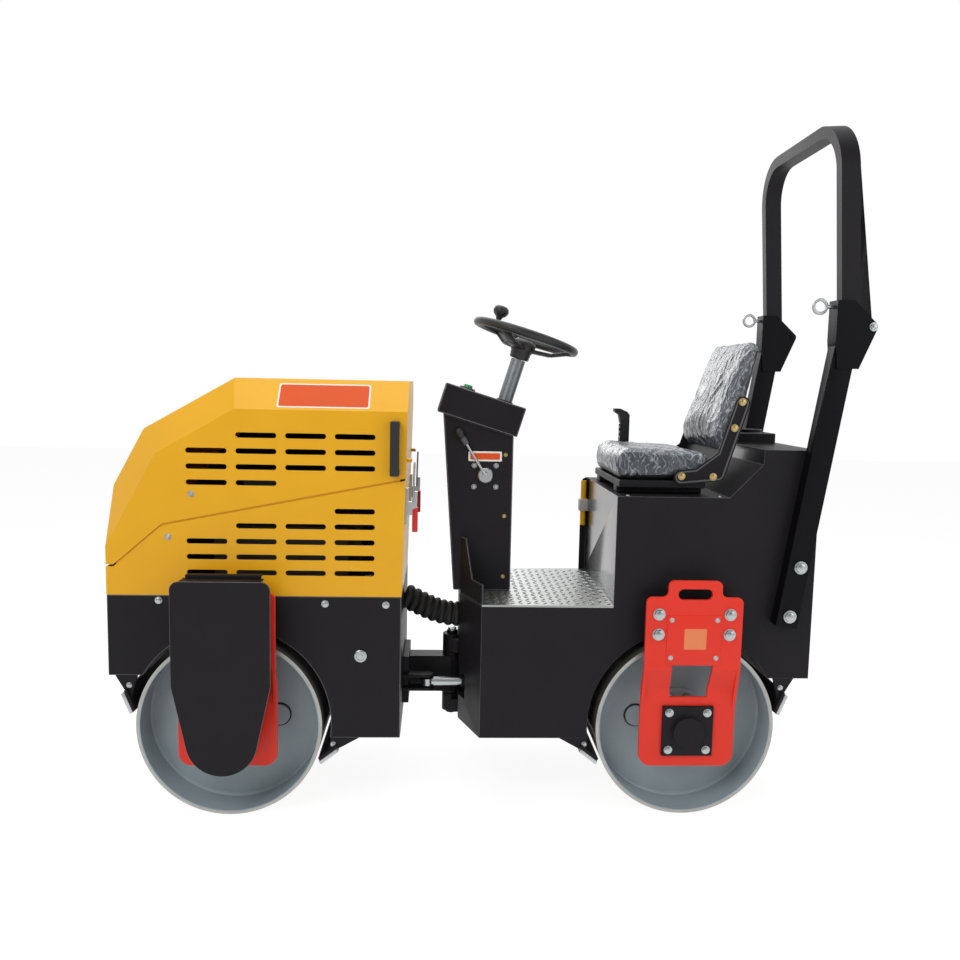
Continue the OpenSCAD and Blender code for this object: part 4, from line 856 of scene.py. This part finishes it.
class ROLLER_OT_floor_tread(bpy.types.Operator):
    """Covers the floor plate with raised tread bars"""

    bl_idname = "roller.floor_tread"
    bl_label = "Floor tread"

    def execute(self, context):
        pitch = context.scene.roller_sizes.tread_pitch / MM
        floor_high, margin = 660, 22
        # The plate's front corners are cut from here, and the console's foot starts further back.
        cut_x, cut_long, cut_wide = -61, 63, 170
        foot_x, foot_half = -178, 100
        spots = []
        row = 0
        x = -458.0
        while x < -8:
            nose = FRAME_SIDE - (x - cut_x) * cut_wide / cut_long if x > cut_x else FRAME_SIDE
            y = -268.0
            column = 0
            while y < 270:
                if abs(y) < nose - margin and not (x > foot_x and abs(y) < foot_half):
                    sign = 1 if (row + column) % 2 else -1
                    spots.append((at(x, y, floor_high), Vector((1, sign, 0)).normalized(), 0.022))
                y += pitch
                column += 1
            x += pitch
            row += 1
        scatter("floor_tread_bars", spots, "tread", "aluminium", "rear_frame")
        return {"FINISHED"}


class ROLLER_OT_labels(bpy.types.Operator):
    """Lays blank labels on hood, bracket panels and console"""

    bl_idname = "roller.labels"
    bl_label = "Labels"

    def execute(self, context):
        # Fall and rise of the hood's sloping shoulder, and how far up it the label's middle lies.
        fall, rise, share = 85, 92, 0.46
        for s, side in SIDES:
            up = Vector((0, -s * fall, rise)).normalized()
            out = Vector((0, s * rise, fall)).normalized()
            middle = at(424, s * (FRAME_SIDE - fall * share), 1245 + rise * share)
            self.bordered("hood_label_{}_" + side, (276, 96), (266, 86), 6, middle, up, out, "hood")
        for s, end in ((1, "rear"), (-1, "front")):
            out, x0, body = Vector((0, s, 0)), -s * HALF_BASE, end + "_frame"
            spot = at(x0, s * (PANEL_FACE - 3), 574)
            loop = placed_loop(round_loop(0.166, 0.154, 4 * MM, 3), spot, AHEAD, UP)
            slab(body + "_bracket_panel", loop, 3 * MM, out, "red", body, 0.8 * MM)
            spot = at(x0 - s * 4, s * PANEL_FACE, 578)
            loop = placed_loop(round_loop(0.068, 0.064, 3 * MM), spot, AHEAD, UP)
            slab(body + "_bracket_label", loop, 0.6 * MM, out, "pale_label", body)
        middle = at(-72, CONSOLE_SIDE, 1101)
        self.bordered("console_label_{}", (108, 32), (96, 21), 3, middle, UP, LEFT, "rear_frame")
        return {"FINISHED"}

    def bordered(self, name, border, field, corner, middle, up, out, body):
        """Blank field on a white border."""
        film = 0.5 * MM
        for part, (w, h), lift, finish in (("border", border, 0.0, "white"), ("field", field, film, "label")):
            flat = round_loop(w * MM, h * MM, corner * MM)
            loop = placed_loop(flat, middle + out * lift, AHEAD, up)
            slab(name.format(part), loop, film, out, finish, body)


def pillow(name, node, hidden_side, seed, grain, softness):
    """Cushion blown up by cloth pressure from its solid, evened and relaxed, then creased like film.

    The hidden side stays smooth and gets the vinyl shell.
    """
    mesh, shape = opened(node)
    shape.normal_update()
    for v, n in [(v, v.normal.copy()) for v in shape.verts]:
        v.co -= n * 1 * MM
    pad = show(name + "_pad", closed(shape, mesh))

    def settle():
        """Keeps the mesh that the modifiers make."""
        pad.data = baked(pad)
        pad.modifiers.clear()

    remesh = pad.modifiers.new("even", "REMESH")
    remesh.mode = "VOXEL"
    remesh.voxel_size = grain
    relax = pad.modifiers.new("relax", "SMOOTH")
    relax.factor = 0.5
    relax.iterations = softness
    settle()
    start = [v.co.copy() for v in pad.data.vertices]
    cloth = pad.modifiers.new("blow", "CLOTH")
    cloth.settings.use_pressure = True
    cloth.settings.uniform_pressure_force = 4.0
    cloth.settings.effector_weights.gravity = 0
    cloth.point_cache.frame_end = 24
    for step in range(1, 21):
        bpy.context.scene.frame_set(step)
    settle()
    bpy.context.scene.frame_set(1)
    limit = 8 * MM
    for v, was in zip(pad.data.vertices, start):
        step = v.co - was
        if step.length > limit:
            v.co = was + step.normalized() * limit
    fine = pad.modifiers.new("fine", "SUBSURF")
    fine.levels = fine.render_levels = 2
    settle()
    normals = [v.normal.copy() for v in pad.data.vertices]
    # The noise starts from the clock unless it is seeded.
    noise.seed_set(1)
    # The film is pulled back and up, so its folds run on that slant.
    cos, sin = math.cos(FILM_SLANT), math.sin(FILM_SLANT)
    for v, n in zip(pad.data.vertices, normals):
        hidden = max(0.0, n.dot(hidden_side))
        run = v.co.z * cos - v.co.x * sin
        across = v.co.x * cos + v.co.z * sin
        p = Vector((across * 24 + seed, v.co.y * 20, run * 11))
        bend = noise.noise_vector(p * 0.5)
        fold = 1 - abs(noise.noise(p + bend)) * 2.4
        fine_fold = 1 - abs(noise.noise(p * 2.2 + bend)) * 2.2
        v.co += n * (fold * 2.2 + fine_fold * 0.7 - 2.0) * (1 - hidden) * MM
    done = piece(name, pad.data, "vinyl", "rear_frame", (node,))
    bpy.data.objects.remove(pad)
    refaced(done, "shell", lambda face: face.normal.dot(hidden_side) > 0.35)
    done.data.shade_smooth()


class ROLLER_OT_seat(bpy.types.Operator):
    """Blows up the two seat cushions and closes the gap between them"""

    bl_idname = "roller.seat"
    bl_label = "Seat"

    def execute(self, context):
        grain = 9 * MM
        pillow("seat_cushion_wrapped", "seat_cushion", Vector((0, 0, -1)), 3.0, grain, 26)
        # Sheet across the arms that closes the gap under the backrest.
        half = 214
        ends = ((-790, half, 1046), (-790, -half, 1046), (-828, -half, 1155), (-828, half, 1155))
        loop = [at(*end) for end in ends]
        slab("seat_cross_plate", loop, 3 * MM, Vector((-1, 0, -0.35)), "rubber", "rear_frame")
        lean = math.radians(13)
        behind = Vector((-math.cos(lean), 0, -math.sin(lean)))
        pillow("seat_back_wrapped", "seat_back", behind, 11.0, grain, 7)
        return {"FINISHED"}


def hose_tree(pitch, depth):
    """Geometry tree that turns a path into a ribbed sleeve."""
    tree, start = new_tree("ribbed_hose", Radius="Float")
    path = add(tree, "GeometryNodeMeshToCurve", {}, {"Mesh": start.outputs["Geometry"]})
    even = add(
        tree, "GeometryNodeResampleCurve", {"mode": "LENGTH"},
        {"Curve": path.outputs[0], "Length": pitch / 12},
    )
    run = add(tree, "GeometryNodeSplineParameter")
    phase = reckoned(tree, "MULTIPLY", run.outputs["Length"], math.pi / pitch)
    wave = reckoned(tree, "ABSOLUTE", reckoned(tree, "SINE", phase))
    swell = reckoned(tree, "MULTIPLY_ADD", wave, depth, start.outputs["Radius"])
    ring = add(tree, "GeometryNodeCurvePrimitiveCircle", {}, {"Resolution": 36, "Radius": 1.0})
    tube = add(
        tree, "GeometryNodeCurveToMesh", {},
        {"Curve": even.outputs[0], "Profile Curve": ring.outputs[0], "Scale": swell, "Fill Caps": True},
    )
    return end_tree(tree, start, tube.outputs[0])


class ROLLER_OT_hose(bpy.types.Operator):
    """Runs the ribbed hose sleeve from the front frame into the rear frame"""

    bl_idname = "roller.hose"
    bl_label = "Hose sleeve"

    def execute(self, context):
        size = context.scene.roller_sizes
        low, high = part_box("hose_sleeve")
        beside, half, sag = 0.04, 0.045, 0.012
        a = Vector((high.x, beside, high.z - half))
        b = Vector((low.x, beside, low.z + half))
        steps = 24
        points = []
        for i in range(steps + 1):
            t = i / steps
            ease = t * t * (3 - 2 * t) * 0.35 + t * 0.65
            z = a.z + (b.z - a.z) * ease - sag * math.sin(math.pi * t)
            points.append((a.x + (b.x - a.x) * t, a.y, z))
        mesh = bpy.data.meshes.new("hose_path")
        mesh.from_pydata(points, [(i, i + 1) for i in range(steps)], [])
        tree = hose_tree(size.hose_pitch, 7 * MM)
        mesh = run_tree("hose_path", mesh, tree, Radius=size.hose_radius, Finish=FINISH["rubber"])
        hose = show("hose_sleeve_ribbed", mesh)
        painted(hose, "rubber")
        soften(hose, 60)
        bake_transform(hose)
        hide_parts("hose_sleeve")
        return {"FINISHED"}


class ROLLER_OT_wheel(bpy.types.Operator):
    """Builds the steering wheel: thick rim, tapered spokes, booted hub and spinner knob"""

    bl_idname = "roller.wheel"
    bl_label = "Steering wheel"

    def execute(self, context):
        centre = Vector(JOINTS["wheel_turn"]["pos_m"])
        rim_ring, rim_thick = 165.5, 13.5
        angles = [math.radians(20 * i) for i in range(19)]
        rim = [(rim_ring + rim_thick * math.cos(a), rim_thick * math.sin(a)) for a in angles]
        hub = [
            (10.1, -75), (30, -75), (33, -70), (32, -64), (34, -60), (33, -54), (37, -47), (42, -32),
            (42, -22), (38, -16), (27, -12), (24, -9), (0, -8),
        ]
        knob = [
            (0, 8), (13, 8), (14, 14), (10, 20), (9, 38), (12, 46), (21, 53), (26, 61), (27, 69), (24, 78),
            (16, 84), (0, 86),
        ]
        root = centre + self.spoke_way(-54) * 0.167
        body, whole, plastic = "steering_wheel", ("steering_wheel",), "plastic"
        turned("wheel_rim", rim, centre, COLUMN_UP, plastic, body, whole, 96)
        turned("wheel_hub", hub, centre, COLUMN_UP, plastic, body, whole, 40)
        for i, angle in enumerate((60, 180, 300)):
            out = self.spoke_way(angle)
            side = COLUMN_UP.cross(out)
            low = centre + out * 0.028 - COLUMN_UP * 0.04
            mid = centre + out * 0.095 - COLUMN_UP * 0.033
            top = centre + out * 0.163 - COLUMN_UP * 0.004
            for part, p, q, w0, w1 in (("root", low, mid, 25, 18), ("tip", mid, top, 18, 15)):
                run = (q - p).normalized()
                normal = run.cross(side)
                loop = [
                    p - side * w0 * MM, p + side * w0 * MM,
                    q + side * w1 * MM + run * 3 * MM, q - side * w1 * MM + run * 3 * MM,
                ]
                loop = [v - normal * 6.5 * MM for v in loop]
                slab(f"wheel_spoke_{part}_{i + 1}", loop, 13 * MM, normal, plastic, body, 4.5 * MM)
        turned("spinner_knob", knob, root, COLUMN_UP, plastic, body, whole, 32)
        return {"FINISHED"}

    def spoke_way(self, degrees):
        """Direction in the wheel's plane, counted from straight ahead."""
        a = math.radians(degrees)
        return COLUMN_AHEAD * math.cos(a) + LEFT * math.sin(a)


class ROLLER_OT_controls(bpy.types.Operator):
    """Adds latch grips, throttle, start button, column collar, tube clip and travel lever"""

    bl_idname = "roller.controls"
    bl_label = "Controls"

    def execute(self, context):
        outline = ((-9, 873), (9, 873), (14, 884), (15, 944), (11, 951), (-11, 951), (-15, 944), (-14, 884))
        for s, side in SIDES:
            loop = [at(140, s * 215 + u, z) for u, z in outline]
            slab("latch_grip_" + side, loop, 17 * MM, AHEAD, "red_grip", "front_frame", 3 * MM)
        root = at(-74, CONSOLE_SIDE, 1039)
        slant = math.radians(32)
        lever = Vector((math.sin(slant), 0, math.cos(slant)))
        foot = root + LEFT * 10 * MM
        head = at(-172, 0, 1165) + COLUMN_UP * 0.097
        button = head + COLUMN_AHEAD * 0.196
        collar = head + COLUMN_AHEAD * 0.066
        throttle = ("throttle_lever",)
        for name, base, axis, finish, replaced, steps, profile in (
            ("throttle_disc", root, LEFT, "zinc", throttle, 36,
             [(0, 0), (25, 0), (25, 5), (22, 8), (12, 8), (11, 13), (0, 13)]),
            ("throttle_rod", foot, lever, "zinc", throttle, 20,
             [(0, 0), (5, 0), (4.4, 6), (4.4, 138), (0, 138)]),
            ("throttle_boot", foot, lever, "grey_rubber", throttle, 24,
             [(4.6, 118), (8.5, 118), (9.5, 124), (8.6, 127), (10.5, 131), (9.4, 135), (11.5, 142),
              (4.6, 142)]),
            ("throttle_knob", foot, lever, "plastic", throttle, 28,
             [(0, 140), (10, 140), (11, 148), (14, 154), (15.5, 162), (14.5, 170), (10, 176),
              (5, 178.5), (0, 179)]),
            ("button_base", button, COLUMN_UP, "plastic", (), 36,
             [(0, -0.5), (27, -0.5), (27, 3), (24, 6), (18, 6.5), (0, 6.5)]),
            ("button_cap", button, COLUMN_UP, "green_cap", (), 36,
             [(0, 6), (15, 6), (15, 12), (13, 14.5), (8, 15.5), (0, 15.8)]),
            ("column_collar", collar, COLUMN_UP, "rubber", (), 36,
             [(24.3, 0), (28, 0), (28, 2), (26, 4), (24.3, 4)]),
        ):
            turned(name, profile, base, axis, finish, "rear_frame", replaced, steps)
        self.tube_clip()
        self.travel_lever()
        return {"FINISHED"}

    def tube_clip(self):
        """Clip round the stowed tube, a third of the way up."""
        low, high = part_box("stow_tube")
        skin, tall = 0.8 * MM, 40 * MM
        back, ahead = low.x + 0.2 * MM, high.x + skin
        right, left = low.y - skin, high.y + skin
        foot = low.z + (high.z - low.z) / 3 - skin
        corners = ((back, right), (ahead, right), (ahead, left), (back, left))
        loop = [Vector((x, y, foot)) for x, y in corners]
        slab("tube_clip", loop, tall + 2 * skin, UP, "pale_plastic", "rear_frame", 0.3 * MM)

    def travel_lever(self):
        """Grip with finger grooves, on a flanged boot."""
        mesh, shape = opened("travel_lever")
        pitch, low, high = 19.0, 1150.0, 1207.0
        z = low
        while z <= high:
            bmesh.ops.bisect_plane(
                shape, geom=shape.verts[:] + shape.edges[:] + shape.faces[:],
                plane_co=at(0, 0, z), plane_no=UP,
            )
            z += pitch / 8
        front = at(-575.3, 0, 0).x
        for v in shape.verts:
            height = v.co.z / MM
            if v.co.x > front and low <= height <= high:
                v.co.x -= 2.5 * MM * (1 - math.cos(2 * math.pi * (height - low) / pitch))
        whole = ("travel_lever",)
        soften(piece("travel_lever_grip", closed(shape, mesh), "plastic", "rear_frame", whole))
        loop = placed_loop(round_loop(0.054, 0.044, 0.008), at(-592, -255, 1119), AHEAD, LEFT)
        slab("lever_flange", loop, 9 * MM, UP, "plastic", "rear_frame", 1.5 * MM)


class ROLLER_OT_blades(bpy.types.Operator):
    """Lays wear plates on the scraper blades"""

    bl_idname = "roller.blades"
    bl_label = "Scraper plates"

    def execute(self, context):
        half, lift = 297, 4.4
        for end, turn in ENDS:
            for name, foot, tip, away in (
                ("outer", (286.4, 325.4), (312.6, 390.3), (1, -0.4)),
                ("inner", (-268.9, 171.4), (-324.8, 213.5), (-0.6, -0.8)),
            ):
                run = Vector((tip[0] - foot[0], 0, tip[1] - foot[1])).normalized()
                normal = Vector((run.z, 0, -run.x))
                if normal.x * away[0] + normal.z * away[1] < 0:
                    normal = -normal
                p = Vector((foot[0], 0, foot[1])) - run * 3 + normal * lift
                q = Vector((tip[0], 0, tip[1])) - run * 6 + normal * lift
                corners = ((p, -half), (q, -half), (q, half), (p, half))
                loop = [at(turn * (HALF_BASE + c.x), y, c.z) for c, y in corners]
                facing = Vector((turn * normal.x, 0, normal.z))
                body = end + "_frame"
                slab(f"{end}_{name}_wear_plate", loop, 11 * MM, facing, "blade", body, 1.2 * MM)
        return {"FINISHED"}


class ROLLER_OT_stage(bpy.types.Operator):
    """Camera, floor, light and surround"""

    bl_idname = "roller.stage"
    bl_label = "Stage"

    def execute(self, context):
        scene = context.scene
        scene.view_settings.view_transform = "Standard"
        self.camera(scene)
        self.floor()
        self.surround(scene)
        for name, place, aim, size, power in (
            ("key_softbox", (2.2, 3.4, 3.6), (0, 0, 0.7), 2.6, 82),
            ("fill_softbox", (-3.2, 3.0, 2.4), (0, 0, 0.7), 2.6, 38),
            ("top_softbox", (0, -0.6, 4.6), (0, 0, 0.6), 3.6, 75),
            ("rim_softbox", (0.5, -3.6, 2.8), (0, 0, 0.9), 2.4, 40),
        ):
            lamp = bpy.data.lights.new(name, "AREA")
            lamp.shape = "SQUARE"
            lamp.size = size
            lamp.energy = power
            obj = show(name, lamp)
            obj.location = place
            obj.rotation_euler = (Vector(aim) - Vector(place)).to_track_quat("-Z", "Y").to_euler()
        return {"FINISHED"}

    def camera(self, scene):
        """Camera that was fitted to the photograph."""
        yaw, pitch, roll = (math.radians(a) for a in (-2.7778, 6.1711, -1.1826))
        flat = math.cos(pitch)
        ahead = Vector((math.sin(yaw) * flat, -math.cos(yaw) * flat, -math.sin(pitch)))
        right = ahead.cross(UP).normalized()
        down = ahead.cross(right)
        r = right * math.cos(roll) + down * math.sin(roll)
        d = down * math.cos(roll) - right * math.sin(roll)
        sensor, picture, focal = 36, 960, 884.71
        data = bpy.data.cameras.new("photo_camera")
        data.sensor_width = sensor
        data.sensor_fit = "HORIZONTAL"
        data.lens = focal / picture * sensor
        data.clip_end = 60
        camera = show("photo_camera", data)
        turn = Matrix((r, -d, -ahead)).transposed().to_4x4()
        camera.matrix_world = Matrix.Translation(at(81.28, 2930.81, 1331.82)) @ turn
        scene.camera = camera

    def floor(self):
        """White floor: seen it glows, but it lights the machine as a matt one."""
        mesh = bpy.data.meshes.new("pale_floor")
        reach = 14.0
        corners = [(x * reach, y * reach, 0) for x, y in ((-1, -1), (1, -1), (1, 1), (-1, 1))]
        mesh.from_pydata(corners, [], [(0, 1, 2, 3)])
        floor = show("pale_floor", mesh)
        mat = bpy.data.materials.new("pale_studio_floor")
        mat.use_nodes = True
        tree = mat.node_tree
        tree.nodes.clear()
        rays = add(tree, "ShaderNodeLightPath").outputs
        mirror = reckoned(tree, "MAXIMUM", rays["Is Glossy Ray"], rays["Is Transmission Ray"])
        seen = reckoned(tree, "MAXIMUM", rays["Is Camera Ray"], mirror)
        matt = add(tree, "ShaderNodeBsdfDiffuse", {}, {"Color": (0.85, 0.85, 0.85, 1)})
        dull = add(tree, "ShaderNodeBsdfDiffuse", {}, {"Color": (0.25, 0.25, 0.25, 1)})
        glow = add(tree, "ShaderNodeEmission", {}, {"Color": (1, 1, 1, 1), "Strength": 0.87})
        white = add(tree, "ShaderNodeAddShader", {}, {0: dull.outputs[0], 1: glow.outputs[0]})
        both = add(tree, "ShaderNodeMixShader", {}, {0: seen, 1: matt.outputs[0], 2: white.outputs[0]})
        add(tree, "ShaderNodeOutputMaterial", {}, {"Surface": both.outputs[0]})
        mesh.materials.append(mat)

    def surround(self, scene):
        """White backdrop behind the machine, dim studio on the camera's side."""
        world = bpy.data.worlds.new("studio")
        scene.world = world
        world.use_nodes = True
        tree = world.node_tree
        tree.nodes.clear()
        rays = add(tree, "ShaderNodeLightPath").outputs
        seen = reckoned(tree, "MAXIMUM", rays["Is Camera Ray"], rays["Is Transmission Ray"])
        facing = add(tree, "ShaderNodeTexCoord")
        parts = add(tree, "ShaderNodeSeparateXYZ", {}, {0: facing.outputs["Generated"]})
        dim = ranged(tree, parts.outputs["Y"], 1.0, 0.2, -0.1, 0.5)
        lit, mirrored, shown = (
            add(tree, "ShaderNodeBackground", {}, {"Color": (1, 1, 1, 1), "Strength": strength}).outputs[0]
            for strength in (0.42, dim, 1.0)
        )
        first = add(tree, "ShaderNodeMixShader", {}, {0: rays["Is Glossy Ray"], 1: lit, 2: mirrored})
        both = add(tree, "ShaderNodeMixShader", {}, {0: seen, 1: first.outputs[0], 2: shown})
        add(tree, "ShaderNodeOutputWorld", {}, {"Surface": both.outputs[0]})


class ROLLER_PT_panel(bpy.types.Panel):
    """Sidebar panel of the roller's dressing steps"""

    bl_idname = "ROLLER_PT_panel"
    bl_label = "Road roller"
    bl_space_type = "VIEW_3D"
    bl_region_type = "UI"
    bl_category = "Roller"

    def draw(self, context):
        for step in STEPS:
            self.layout.operator(step.bl_idname)
        for name in RollerSizes.__annotations__:
            self.layout.prop(context.scene.roller_sizes, name)
        for name in RollerColours.__annotations__:
            self.layout.prop(context.scene.roller_colours, name)


STEPS = (
    ROLLER_OT_bodywork,
    ROLLER_OT_baffle,
    ROLLER_OT_covers,
    ROLLER_OT_drum_ends,
    ROLLER_OT_fasteners,
    ROLLER_OT_floor_tread,
    ROLLER_OT_labels,
    ROLLER_OT_seat,
    ROLLER_OT_hose,
    ROLLER_OT_wheel,
    ROLLER_OT_controls,
    ROLLER_OT_blades,
    ROLLER_OT_stage,
)
CLASSES = (RollerSizes, RollerColours, ROLLER_PT_panel) + STEPS


def register():
    for cls in CLASSES:
        bpy.utils.register_class(cls)
    bpy.types.Scene.roller_sizes = bpy.props.PointerProperty(type=RollerSizes)
    bpy.types.Scene.roller_colours = bpy.props.PointerProperty(type=RollerColours)


def unregister():
    del bpy.types.Scene.roller_colours
    del bpy.types.Scene.roller_sizes
    for cls in reversed(CLASSES):
        bpy.utils.unregister_class(cls)


def main():
    register()
    make_finishes(bpy.context.scene.roller_colours)
    make_trees()
    for step in STEPS:
        group, name = step.bl_idname.split(".")
        getattr(getattr(bpy.ops, group), name)()


if __name__ == "__main__":
    main()
